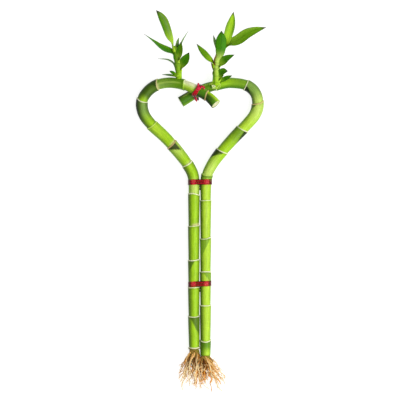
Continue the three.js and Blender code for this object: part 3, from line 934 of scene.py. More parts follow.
@dataclass(frozen=True)
class Cane:
    """A live cane, bent into half a heart."""

    piece: Piece
    centre_line: Sequence[Point]
    radii: Pairs
    joints: Sequence[Joint]
    tip: Joint
    tip_slant: float
    seed: int
    sides: int = 44
    step: float = 1.2
    least_step: float = 0.05
    flare: float = 0.3
    ripple: float = 0.1
    ripple_sizes: Pair = (0.6, 1.0)
    ripple_waves: int = 3
    ring_hold: Pair = (1.0, 6.0)
    oval: float = 0.012
    oval_length: float = 19.0
    rim_bevel: float = 0.28
    rim_rise: float = 0.6
    skin_rim: float = 0.45
    pith_sink: float = 0.15
    # Where the far flank's painted shade begins and how much of it shows.
    far_flank: Pair = (0.35, 0.75)
    marks: Marks = Marks()

    @property
    def route(self) -> Route:
        """The cane's centre line."""
        return Route(self.centre_line)

    def ends(self, total: float) -> list[float]:
        """Where the joints begin and end along the centre line."""
        return [0.0, *np.cumsum([joint.length for joint in self.joints]), total]

    def joint_at(self, at: float, ends: Sequence[float]) -> tuple[int, float]:
        """The number of the joint at a distance along the cane, and the place in it from 0 to 1."""
        number = min(max(int(np.searchsorted(ends, at, side="right")) - 1, 0), len(ends) - 2)
        return number, (at - ends[number]) / (ends[number + 1] - ends[number])

    def radius(self, at: float, ends: Sequence[float]) -> float:
        """The cane's radius. A joint widens up to its ring.

        Args:
            at: The distance along the cane.
            ends: Where the joints begin and end.

        Returns:
            The radius there.
        """
        nearest = min(ends[1:-1], key=lambda ring: abs(ring - at))
        offset = at - nearest
        if RING_REACH[0] <= offset <= RING_REACH[1]:
            return value_at(self.radii, at) + value_at(RING_PROFILE, offset)
        _, part = self.joint_at(at, ends)
        return value_at(self.radii, at) + mix(-self.flare, self.flare, part)

    def places(self, ends: Sequence[float]) -> list[float]:
        """The distances of the cane's rings of corners: even steps, and finer ones at each ring.

        Args:
            ends: Where the joints begin and end.

        Returns:
            The distances, rising.
        """
        rings, total = ends[1:-1], ends[-1]
        low, high = RING_REACH
        fine = [ring + offset for ring in rings for offset, _ in RING_PROFILE]
        even = [at for at in even_steps(total, math.ceil(total / self.step))
                if not any(low < at - ring < high for ring in rings)]
        places = sorted(at for at in {*fine, *even, 0.0, total} if 0.0 <= at <= total)
        return [at for number, at in enumerate(places)
                if number == 0 or at - places[number - 1] > self.least_step]

    def shift(self, x: float, z: float, at: float, ends: Sequence[float], ripple: Pairs) -> float:
        """How far a point moves along the cane: rings slope and ripple, and the cut tip slants.

        Args:
            x: Its place across the cane, from -1 to 1.
            z: Its place up the cane, from -1 to 1.
            at: Its distance along the cane.
            ends: Where the joints begin and end.
            ripple: The phase and the size of each ring's ripple.

        Returns:
            The move.
        """
        hold, fade = self.ring_hold
        total, rings = ends[-1], ends[1:-1]
        number = int(np.argmin([abs(ring - at) for ring in rings]))
        weight = 1.0 - smooth(hold, fade, abs(rings[number] - at))
        phase, size = ripple[number]
        wave = self.joints[number].bow * (x * x - z * z)
        wave += self.ripple * size * math.sin(self.ripple_waves * math.atan2(z, x) + phase)
        slant = smooth(fade, 0.0, total - at) * self.tip_slant * z * value_at(self.radii, total)
        return weight * (self.joints[number].slope * x + wave) - slant

    def colour(self, place: Vector, ends: Sequence[float], phases: Sequence[float]) -> Colour:
        """The skin's colour with its marks, the painted shade of its flanks, a painted highlight line and a
        painted shadow under each ring.

        Args:
            place: The place on the straight cane.
            ends: Where the joints begin and end.
            phases: A number for each joint that makes its marks uneven in its own way.

        Returns:
            The colour.
        """
        marks = self.marks
        number, part = self.joint_at(place.z, ends)
        ringed = number < len(self.joints)
        joint = self.joints[number] if ringed else self.tip
        below, above = ends[number + 1] - place.z, place.z - ends[number]
        angle, phase = math.atan2(place.y, place.x), phases[number]
        across = math.cos(angle)
        wave = marks.wander * math.sin(place.z * marks.wander_rate + phase)
        skin = joint.plain(across, part, wave, self.far_flank)
        if joint.patch and below < joint.patch.length:
            skin = mix(skin, joint.patch.tone.light, joint.patch.amount(across, below))
        # A pale line along the upper side of the cane: a painted highlight.
        if joint.highlight_line is not None and place.y > 0:
            fade = smooth(0.0, marks.highlight_ends[0], part) * smooth(1.0, marks.highlight_ends[1], part)
            line = hump(across - joint.highlight_line, marks.highlight_width)
            skin = mix(skin, Tone.PALE.light, marks.highlight_strength * line * fade)
        if joint.smear:
            amount = joint.smear * smooth(*marks.smear_reach, above) * smooth(*marks.smear_side, across)
            skin = mix(skin, Tone.HUSK.light, amount)
        if ringed:
            # A dark band just under the ring's lip: a painted shadow.
            shadow = marks.shadow_strength * hump(below - marks.shadow_place, marks.shadow_width)
            width = joint.scar_width * (1.0 + marks.scar_uneven * math.sin(angle + 2 * phase))
            strength, uneven = marks.scar_strength
            amount = smooth(width, width - marks.scar_blur, below)
            amount *= strength + uneven * math.sin(2 * angle + phase)
            skin = mix(skin * (1.0 - shadow), joint.scar.light, amount)
        if number > 0:
            skin = mix(skin, self.joints[number - 1].scar.light, smooth(*marks.scar_above, above))
        return skin

    def build(self, skin: Material, pith: Material) -> bpy.types.Object:
        """Builds the cane and its cut tip.

        Args:
            skin: The cane's finish.
            pith: The cut face's finish.

        Returns:
            The object.
        """
        route = self.route
        ends = self.ends(route.total)
        stations = [Station(at, self.radius(at, ends),
                            1.0 + self.oval * math.sin(at / self.oval_length + self.seed))
                    for at in self.places(ends)]
        tube = Tube(route, stations, self.sides)
        draw = random.Random(self.seed)
        ripple = [(draw.uniform(0, math.tau), draw.uniform(*self.ripple_sizes)) for _ in self.joints]
        bm = tube.build(lambda x, z, at: self.shift(x, z, at, ends, ripple))
        draw = random.Random(self.seed + 1)
        phases = [draw.uniform(0, math.tau) for _ in ends]
        paint(bm, lambda place: self.colour(place, ends, phases))
        self.cut(bm)
        tube.bend(bm)
        return self.piece.make(bm, skin, pith)

    def cut(self, bm: Mesh) -> None:
        """Rounds the rim of the tip's cut face and gives the face its pith.

        Args:
            bm: The straight cane.
        """
        end = bm.faces.layers.int["end"]
        straight = bm.verts.layers.float_vector["straight"]
        face = next(face for face in bm.faces if face[end] == Tube.HEAD_CAP)
        bmesh.ops.inset_region(bm, faces=[face], thickness=self.rim_bevel,
                               depth=self.rim_bevel * self.rim_rise)
        bmesh.ops.inset_region(bm, faces=[face], thickness=self.skin_rim, depth=0.0)
        face.material_index = 1
        middle = bmesh.ops.poke(bm, faces=[face], offset=-self.pith_sink)["faces"]
        for vert in {corner for lid in middle for corner in lid.verts}:
            vert[straight] = vert.co
        for lid in middle:
            lid.material_index = 1


# Skins shared by many joints: a middle tone and a flank tone that is painted shade.
CLEAR = Skin(Tone.LIME, Tone.MOSS, -0.1)
SUNNY = Skin(Tone.BRIGHT, Tone.MOSS, -0.2)
MILKY = Skin(Tone.PALE, Tone.GRASS, -0.3)
FRESH = Skin(Tone.LIME, Tone.GRASS, -0.3)
EVEN = Skin(Tone.LIME, Tone.MOSS, 0.15)
HALVED = Skin(Tone.LIME, Tone.MOSS, 0.0)

LEFT_CANE = Cane(
    piece=Piece("cane_left_stem", "cane_left", "cane_left"),
    centre_line=(
        (-5.7, -167.5, 6.65), (-6.1, -135, 6.65), (-6.2, -60, 6.65), (-6.1, -15, 6.65), (-6.1, 0, 6.65),
        (-7.2, 7.5, 6.7), (-10.5, 14.6, 6.8), (-17.4, 24.5, 6.9), (-33, 42.8, 7.0), (-50.3, 59.4, 7.0),
        (-55.6, 66.8, 7.0), (-57.9, 74, 7.0), (-58.1, 79.5, 7.0), (-56.6, 84.5, 6.9), (-54, 88.5, 6.8),
        (-50.5, 92.3, 7.0), (-45.5, 95.8, 7.2), (-40, 98, 7.8), (-32, 99.2, 9.3), (-25, 98.9, 11.2),
        (-17, 97.4, 13.7), (-10, 94.7, 15.8), (-3, 91.2, 17.1), (4.2, 87.7, 17.6), (10.5, 83.1, 17.8),
        (15.8, 77.5, 17.9),
    ),
    radii=((0, 5.6), (160, 5.65), (215, 5.9), (265, 5.85), (300, 5.35), (330, 5.15), (360, 5)),
    joints=(
        Joint(2, 0.2, Skin(Tone.OLIVE, Tone.OLIVE), Skin(Tone.TAN, Tone.OLIVE)),
        Joint(31.1, 0.2, CLEAR, CLEAR, patch=Patch(1.1, -0.75, 21, Tone.MOSS), bow=0.7),
        Joint(29, 0.2, EVEN, EVEN, bow=0.1),
        Joint(27.4, 0.5, CLEAR, CLEAR, patch=Patch(-1.1, 0.2, 16, Tone.MOSS), bow=0.2, scar_width=0.7),
        Joint(34, 0.6, CLEAR, CLEAR, bow=0.2, scar_width=0.65),
        Joint(32, -0.8, CLEAR, CLEAR, smear=0.8, bow=-0.5),
        Joint(31.3, 0, Skin(Tone.PALE, Tone.GRASS), Skin(Tone.LIME, Tone.MOSS, 0.1), change=(0.3, 0.6)),
        Joint(25, 0.4, Skin(Tone.LIME, Tone.GRASS), Skin(Tone.PALE, Tone.GRASS),
              patch=Patch(0.6, -1.3, 10, Tone.BOTTLE), smear=0.3, scar=Tone.TAN),
        Joint(27.5, -0.8, FRESH, Skin(Tone.BRIGHT, Tone.GRASS, -0.2), smear=0.6,
              scar=Tone.PALE),
        Joint(27.4, -0.8, HALVED, Skin(Tone.SAGE, Tone.BOTTLE, 0.15),
              change=(0.05, 0.7), bow=0.7),
        Joint(23.3, -1.3, HALVED, Skin(Tone.MOSS, Tone.DEEP, 0.2),
              change=(0.0, 0.35), patch=Patch(-1.1, 0.5, 9, Tone.DEEP), scar=Tone.HUSK),
        Joint(28.3, 1.3, Skin(Tone.SAGE, Tone.GRASS, 0.3), Skin(Tone.FERN, Tone.FERN, 0.0), highlight_line=-0.1,
              smear=0.5, scar=Tone.GRASS, bow=0.0),
        Joint(24.8, 1.3, Skin(Tone.BRIGHT, Tone.CREAM, 0.45, Tone.GRASS),
              Skin(Tone.IVY, Tone.GRASS, -0.3, Tone.BOTTLE), change=(0.42, 0.56), scar=Tone.TAN,
              scar_width=0.6),
    ),
    tip=Joint(12, 0, Skin(Tone.DEEP, Tone.LIME, -0.15, Tone.BOTTLE),
              Skin(Tone.IVY, Tone.BRIGHT, -0.1, Tone.BOTTLE)),
    tip_slant=0.3,
    seed=4,
)

RIGHT_CANE = Cane(
    piece=Piece("cane_right_stem", "cane_right", "cane_right"),
    centre_line=(
        (5.4, -173.5, 6.3), (5.5, -120, 6.3), (5.6, -60, 6.3), (5.7, -20, 6.3), (6.0, 0, 6.35),
        (7.3, 7.5, 6.5), (10, 13.7, 6.7), (16.4, 23.9, 6.9), (32, 42.1, 7.1), (48.6, 59.5, 7.1),
        (54.3, 66.5, 7.1), (57.2, 73.5, 7.1), (57.7, 80, 7.1), (56.7, 86, 7.0), (53.8, 91.3, 6.8),
        (48.5, 95.8, 6.6), (42, 98, 6.5), (35, 98.9, 6.4), (27, 99, 6.4), (13.5, 96, 6.3),
        (5, 93.5, 6.25), (-5, 88.7, 6.3), (-13, 83.8, 6.3), (-19.3, 80, 6.3),
    ),
    radii=((0, 5.35), (160, 5.4), (215, 5.95), (270, 5.95), (300, 5.35), (330, 5.15), (365, 5.2)),
    joints=(
        Joint(14.6, 0.2, Skin(Tone.BRIGHT, Tone.IVY, 0.4), Skin(Tone.FERN, Tone.MOSS, 0.3),
              change=(0.1, 0.7), bow=1.0, scar_width=0.7),
        Joint(35.5, 0.1, Skin(Tone.BRIGHT, Tone.MOSS, 0.1), Skin(Tone.BRIGHT, Tone.MOSS, 0.1), bow=0.1,
              scar_width=0.7),
        Joint(33.7, 0.1, SUNNY, SUNNY, patch=Patch(1.1, -0.7, 11, Tone.GRASS), bow=-0.4, scar_width=0.75),
        Joint(33.4, 1.1, SUNNY, SUNNY, patch=Patch(-1.1, 0.9, 23, Tone.GRASS), bow=0.5),
        Joint(37.8, 0.2, SUNNY, SUNNY, highlight_line=0.1, bow=0.0, scar_width=0.6),
        Joint(25.7, 0.6, Skin(Tone.BRIGHT, Tone.MOSS, -0.3), Skin(Tone.GRASS, Tone.MOSS, -0.3), highlight_line=0.1,
              change=(0.76, 0.92), scar=Tone.PALE),
        Joint(28.1, 1.6, MILKY, FRESH, highlight_line=-0.05,
              patch=Patch(-1.1, 0.55, 13, Tone.BOTTLE)),
        Joint(29.9, 1.7, FRESH, Skin(Tone.GRASS, Tone.MOSS, -0.5),
              patch=Patch(1.1, 0.4, 18, Tone.BOTTLE)),
        Joint(31.1, 1.7, Skin(Tone.BRIGHT, Tone.GRASS, -0.4), MILKY, patch=Patch(-1.1, -0.2, 11, Tone.MOSS),
              scar=Tone.TAN),
        Joint(23.3, -0.6, Skin(Tone.PALE, Tone.MOSS, -0.2), Skin(Tone.SAGE, Tone.DEEP, -0.1),
              change=(0.0, 0.6), patch=Patch(-1.1, 0.0, 13, Tone.BOTTLE)),
        Joint(31.5, 0, Skin(Tone.GRASS, Tone.IVY, 0.0), Skin(Tone.LIME, Tone.IVY, 0.0)),
    ),
    tip=Joint(34, 0, Skin(Tone.FERN, Tone.MOSS, -0.3, Tone.JADE),
              Skin(Tone.IVY, Tone.GRASS, -0.5, Tone.DEEP), change=(0.3, 0.6), highlight_line=0.62),
    tip_slant=0.05,
    seed=9,
    far_flank=(0.45, 0.5),
)


# ------------------------------------------------------------------------------------------------
# Ties
# ------------------------------------------------------------------------------------------------


def twist(line: Route, phase: float, turn: float, radius: float, count: int) -> list[Guide]:
    """One strand of wire that winds round a line.

    Args:
        line: The line.
        phase: The angle round the line at which the strand begins.
        turn: How far it turns in each millimetre.
        radius: How far its middle keeps from the line.
        count: The number of its steps.

    Returns:
        Its points, each with its direction out of the line.
    """
    found = []
    for at in even_steps(line.total, count):
        section = line.section(at)
        out = section.out(phase + at * turn)
        found.append((*(section.point + out * radius), *out))
    return found


@dataclass(frozen=True)
class Wire:
    """Red coated tie wire, pressed a little flat where it is drawn tight."""

    width: float
    height: float
    sides: int = 12
    step: float = 0.6
    core: float = 0.45
    rim: float = 0.1
    rim_bulge: float = 0.06
    core_edge: float = 0.02
    core_rise: float = 0.2

    @staticmethod
    def shade(glow: float) -> Colour:
        """The coat's colour with its painted light, from 0 for maroon, a painted shade, past 0.5 for red to
        1 for rose, a painted highlight.
        """
        dark = mix(Tone.MAROON.light, Tone.RED.light, min(2 * glow, 1.0))
        return mix(dark, Tone.ROSE.light, max(2 * glow - 1.0, 0.0))

    def build(self, route: Route, glow: Callable[[Section], float]) -> Mesh:
        """A length of wire with rounded coating ends and a bare core.

        Args:
            route: The wire's line, with the direction away from what it is tied round.
            glow: The coat's painted light and shade at a place on the line, from 0 for maroon to 1 for rose.

        Returns:
            The wire's mesh.
        """
        oval = self.height / self.width
        count = math.ceil(route.total / self.step)
        stations = [Station(at, self.width / 2, oval) for at in even_steps(route.total, count)]
        tube = Tube(route, stations, self.sides)
        bm = tube.build()
        shades = [self.shade(glow(route.section(station.at))) for station in stations]
        paint(bm, lambda place: shades[round(place.z / route.total * count)])
        end = bm.faces.layers.int["end"]
        coat = self.width * (1 - self.core) / 2 - self.rim
        for face in [face for face in bm.faces if face[end]]:
            bmesh.ops.inset_region(bm, faces=[face], thickness=self.rim, depth=self.rim_bulge)
            bmesh.ops.inset_region(bm, faces=[face], thickness=coat, depth=0.0)
            made = bmesh.ops.inset_region(bm, faces=[face], thickness=self.core_edge,
                                          depth=self.core_rise)["faces"]
            for part in (face, *made):
                part.material_index = 1
        straight = bm.verts.layers.float_vector["straight"]
        for vert in bm.verts:
            if not 0.0 <= vert.co.z <= route.total:
                vert[straight] = vert.co
        tube.bend(bm)
        return bm


@dataclass(frozen=True)
class Band:
    """Turns of wire drawn round both canes where they lie side by side, its ends twisted in the
    groove behind them. "near" and "back" lead the wire from the groove to its first turn and back,
    each point with its direction out of the canes."""

    name: str
    node: str
    y: float
    turns: int = 5
    pitch: float = 1.1
    snug: float = 0.15
    lift: float = 0.44
    lean: float = 0.03
    tilt: float = 0.0
    arc_steps: int = 12
    wobble_seed: int = 3
    groove: Pairs = ((-2.9, 1.9), (-5.5, 1.8), (-8.0, 2.0))
    groove_x: float = -0.1
    twist_radius: float = 0.46
    twist_turn: float = 1.15
    twist_steps: int = 16
    near: Sequence[Guide] = ((-1.3, -2.6, 0.9, 0.0, 0.0, -1.0),)
    back: Sequence[Guide] = (
        (2.2, 2.3, 0.62, 0.0, 0.0, -1.0), (0.9, 1.9, 1.3, 0.5, 0.0, -0.8), (0.4, 0.6, 1.9, 0.9, 0.0, -0.3),
        (0.4, -1.2, 1.95, 0.9, 0.0, 0.2),
    )
    # Where the coat's painted highlights and painted shade fall, and how bright they are.
    facing: Pair = (0.8, 0.97)
    crest: Pair = (3.4, 5.4)
    hollow: Pair = (5.0, 3.4)
    line_width: float = 0.4
    line_glow: float = 0.35
    glows: Pair = (0.08, 1.0)
    outer_turns: Pair = (0.95, 0.5)
    outer_glow: float = 0.35

    def circles(self) -> list[Point]:
        """The circles that the wire's line follows.

        Returns:
            The centre's X and Z and the radius, for the left and for the right cane.
        """
        found = []
        for cane in (LEFT_CANE, RIGHT_CANE):
            route = cane.route
            ends = cane.ends(route.total)
            half = self.turns * self.pitch / 2
            ats = [route.at_y(self.y + offset) for offset in (-half, -half / 2, 0.0, half / 2, half)]
            radius = max(cane.radius(at, ends) for at in ats) + self.snug
            centre = route.point(ats[len(ats) // 2])
            found.append((centre.x, max(centre.z, radius + self.lift), radius))
        return found

    def turn_points(self) -> Iterator[Guide]:
        """The wire's way round both canes again and again, from the underside of the left cane to the
        underside of the right cane.

        Yields:
            Its points, each with its direction out of the canes.
        """
        left, right = self.circles()
        run, rise = right[0] - left[0], right[1] - left[1]
        heading = math.atan2(run, rise)
        spread = math.acos((left[2] - right[2]) / math.hypot(run, rise))
        arcs = ((left, heading + spread - math.tau, heading - spread),
                (right, heading - spread, heading + spread))
        count = len(arcs) * (self.arc_steps + 1)
        wobble = random.Random(round(abs(self.y)) + self.wobble_seed)
        for turn in range(self.turns):
            number = 0
            for (x, z, radius), first, last in arcs:
                for part in even_steps(1.0, self.arc_steps):
                    angle = mix(first, last, part)
                    done = (turn + number / count) / self.turns
                    across = (done - 0.5) * self.turns * self.pitch
                    across += wobble.uniform(-self.lean, self.lean)
                    out = (math.sin(angle), 0.0, math.cos(angle))
                    reach = x + radius * out[0]
                    yield (reach, self.y + across + self.tilt * reach, z + radius * out[2], *out)
                    number += 1

    def twisted(self, phase: float) -> list[Guide]:
        """One of the two ends, from the band out along the groove."""
        line = Route([(self.groove_x, self.y + offset, z) for offset, z in self.groove])
        return twist(line, phase, self.twist_turn, self.twist_radius, self.twist_steps)

    def placed(self, guides: Sequence[Guide]) -> list[Guide]:
        """Points given from the band's middle, at their place along the canes."""
        return [(x, self.y + offset, *others) for x, offset, *others in guides]

    def glow(self, section: Section) -> float:
        """The coat's painted light and shade: a painted highlight on each cane's crest, painted shade on
        the flanks, over the groove and on the outer turns, and a thin painted highlight line on the inner
        ones.

        Args:
            section: The place on the wire.

        Returns:
            The painted light and shade, from 0 for maroon to 1 for rose.
        """
        x, offset = abs(section.point.x), abs(section.point.y - self.y)
        upper = smooth(*self.facing, section.up.z)
        crest = upper * smooth(*self.crest, x)
        line = upper * smooth(*self.hollow, x) * hump(offset - self.pitch, self.line_width)
        edge = offset / (self.turns * self.pitch / 2)
        inner = mix(self.outer_glow, 1.0, smooth(*self.outer_turns, edge))
        return (mix(*self.glows, crest) + self.line_glow * line) * inner

    def build(self, wire: Wire, coat: Material, core: Material) -> None:
        """Builds the band as one length of wire.

        Args:
            wire: The kind of wire.
            coat: Its coating's finish.
            core: The finish of its cut ends.
        """
        first, last = self.twisted(-math.pi / 2), self.twisted(math.pi / 2)
        route = Route([*reversed(first), *self.placed(self.near), *self.turn_points(),
                       *self.placed(self.back), *last])
        Piece(self.name, self.node, "wire").make(wire.build(route, self.glow), coat, core)


@dataclass(frozen=True)
class Layer:
    """Turns of wire that lie side by side: how far they sway across the turns below them, and the gap
    from the canes to the wire's middle."""

    turns: int
    pitch: float
    sway: float
    gap: float


@dataclass(frozen=True)
class CrossingLashing:
    """Wire lashed over the place where the two tips cross, with a knot and three twisted ends."""

    loop: Sequence[Point] = (
        (-0.6, 96.3, 16.6), (-1.2, 94.8, 20.6), (-2.4, 91.6, 22.4), (-4.1, 88.6, 21.2), (-5.2, 86.6, 18.2),
        (-5.0, 84.8, 13.6), (-4.2, 82.8, 9), (-3.6, 82.2, 6), (-3.5, 84.2, 2.2), (-3.4, 88.2, 0.5),
        (-3.0, 91.6, 0.5), (-2.4, 95.4, 3), (-1.9, 96.8, 7), (-1.6, 97, 12),
    )
    core: Point = (-3.6, 89.5, 11.5)
    layers: Sequence[Layer] = (Layer(4, 1.08, 0.0, 0.5), Layer(3, 1.2, 1.3, 1.35))
    steps: int = 40
    hug_margin: float = 0.5
    cane_reach: float = 5.35
    cane_share: float = 0.75
    sway_waves: int = 2
    ends: Sequence[Sequence[Point]] = (
        ((-3.2, 91.8, 22.9), (-1.9, 95.2, 23.6), (-1.6, 98.4, 23.2)),
        ((-2.6, 91.6, 22.9), (-0.4, 93.0, 23.7), (1.8, 94.9, 23.6), (3.7, 94.8, 23.2), (4.1, 93.3, 22.8),
         (2.9, 92.7, 22.6)),
        ((-4.6, 84.6, 14.6), (-4.0, 82.6, 13.4), (-3.5, 80.6, 12.0)),
    )
    twist_radius: float = 0.52
    twist_turn: float = 1.3
    twist_steps: int = 14
    low: float = 0.6
    knot_centre: Point = (-1.2, 93.0, 22.9)
    knot_axis: Point = (0.8, 0.6, 0.0)
    knot_radius: float = 1.5
    knot_turns: float = 2.3
    knot_length: float = 2.6
    knot_steps: int = 32
    # How the painted light and shade fall on the turns and on the knot and its ends.
    turn_facing: Pair = (0.3, 1.0)
    turn_glows: Pair = (0.1, 0.55)
    end_facing: Pair = (0.0, 0.9)
    end_glows: Pair = (0.5, 1.2)

    def middles(self) -> list[np.ndarray]:
        """The points of each cane's centre line near the crossing.

        Returns:
            Those of the upper and of the lower cane.
        """
        lines = [cane.route.data for cane in (LEFT_CANE, RIGHT_CANE)]
        return [line[int(len(line) * self.cane_share) :] for line in lines]

    def hugging(self, point: Vector, gap: float, middles: Sequence[np.ndarray]) -> Vector:
        """Moves a point so that wire there lies on the canes and not in them.

        Args:
            point: The point.
            gap: The gap between the canes and the wire's middle.
            middles: The canes' centre lines.

        Returns:
            The moved point.
        """
        reach = self.cane_reach + gap
        for middle in middles:
            nearest = Vector(middle[np.argmin(np.linalg.norm(middle - np.array(point), axis=1))])
            away = point - nearest
            if away.length < reach + self.hug_margin:
                point = nearest + away.normalized() * reach
        return Vector((point.x, point.y, max(point.z, self.low)))

    def lashing(self, layer: Layer) -> Route:
        """The wire's line through all the turns of a layer.

        Args:
            layer: The layer.

        Returns:
            The line.
        """
        loop = Route(self.loop, closed=True)
        core = Vector(self.core)
        middles = self.middles()
        found = []
        for done in even_steps(1.0, layer.turns * self.steps):
            part = done * layer.turns % 1.0
            section = loop.section(part * loop.total)
            out = section.point - core
            out = (out - section.along * section.along.dot(out)).normalized()
            sideways = out.cross(section.along)
            offset = (done - 0.5) * (layer.turns - 1) * layer.pitch
            offset += layer.sway * math.cos(math.tau * self.sway_waves * part)
            place = self.hugging(section.point + sideways * offset, layer.gap, middles)
            found.append((*place, *out))
        return Route(found)

    def turn_glow(self, section: Section) -> float:
        """The coat's painted light and shade on the turns: darker towards the sides."""
        return mix(*self.turn_glows, smooth(*self.turn_facing, section.up.z))

    def end_glow(self, section: Section) -> float:
        """The coat's painted light on the knot and the ends: brighter where they face up, up to a rose
        painted highlight.
        """
        return mix(*self.end_glows, smooth(*self.end_facing, section.up.z))

    def knot(self) -> Route:
        """The wire's last turns round its own strands, from which the twisted ends stand out.

        Returns:
            The wire's line.
        """
        centre, axis = Vector(self.knot_centre), Vector(self.knot_axis)
        sideways = UP.cross(axis)
        found = []
        for done in even_steps(1.0, self.knot_steps):
            angle = done * self.knot_turns * math.tau
            out = UP * math.cos(angle) + sideways * math.sin(angle)
            place = centre + out * self.knot_radius + axis * ((done - 0.5) * self.knot_length)
            found.append((*place, *out))
        return Route(found)

    def build(self, wire: Wire, coat: Material, core: Material) -> None:
        """Builds the turns and the knot with its ends.

        Args:
            wire: The kind of wire.
            coat: Its coating's finish.
            core: The finish of its cut ends.
        """
        turns = Bundle()
        for layer in self.layers:
            turns.add(wire.build(self.lashing(layer), self.turn_glow))
        Piece("tie_crossing_turns", "tie_crossing", "wire").make(turns.bm, coat, core)
        ends = Bundle()
        ends.add(wire.build(self.knot(), self.end_glow))
        for line in self.ends:
            for phase in (0.0, math.pi):
                strand = twist(Route(line), phase, self.twist_turn, self.twist_radius, self.twist_steps)
                ends.add(wire.build(Route(strand), self.end_glow))
        Piece("tie_crossing_ends", "tie_crossing", "wire").make(ends.bm, coat, core)


# ------------------------------------------------------------------------------------------------
# Leafy shoots
# ------------------------------------------------------------------------------------------------


@dataclass(frozen=True)
class LeafTones:
    """A leaf's colours: at its base, along its middle, at its left and right edges (seen along the
    leaf with its face up), at its tip and underneath. A pale painted sheen may lie along it."""

    base: Tone = Tone.BRIGHT
    middle: Tone = Tone.JADE
    left: Tone = Tone.IVY
    right: Tone = Tone.IVY
    tip: Tone = Tone.DUSK
    under: Tone = Tone.SAGE
    opened: float = 0.58
    outline: float = 0.5
    sheen: Optional[float] = None
    sheen_width: float = 0.32
    sheen_strength: float = 0.55
    side_blur: Pair = (0.1, 0.8)
    under_strength: float = 0.7
    vein_width: float = 0.07
    vein_strength: float = 0.25
    base_end: float = 0.05
    outline_blur: Pair = (0.84, 1.0)
    tip_blur: Pair = (0.86, 0.98)
    tip_strength: float = 0.9

    def at(self, across: float, part: float, top: bool) -> Colour:
        """The colour at one place.

        Args:
            across: The place across the leaf, from -1 to 1.
            part: The place along the leaf, from 0 to 1.
            top: Whether it is on the upper face.

        Returns:
            The colour.
        """
        side = self.left if across < 0 else self.right
        colour = mix(self.middle.light, side.light, smooth(*self.side_blur, abs(across)))
        if not top:
            colour = mix(colour, self.under.light, self.under_strength)
        # A pale stripe along the leaf: a painted sheen.
        if self.sheen is not None:
            amount = self.sheen_strength * hump(across - self.sheen, self.sheen_width)
            colour = mix(colour, Tone.MIST.light, amount)
        colour = mix(colour, Tone.BOTTLE.light, self.vein_strength * hump(across, self.vein_width))
        colour = mix(self.base.light, colour, smooth(self.base_end, self.opened, part))
        colour = mix(colour, self.tip.light, self.outline * smooth(*self.outline_blur, abs(across)) * part)
        return mix(colour, self.tip.light, smooth(*self.tip_blur, part) * self.tip_strength)


@dataclass(frozen=True)
class Leaf:
    """One leaf. It starts at a distance along the stalk on the side "turned" (degrees round the
    stalk from its upper side), clasps the stalk and then runs through its path."""

    start: float
    turned: float
    width: float
    widest: float
    point: float
    face: float
    path: Sequence[Point]
    twist: float = 0.0
    shows_underside: bool = False
    tones: LeafTones = LeafTones()


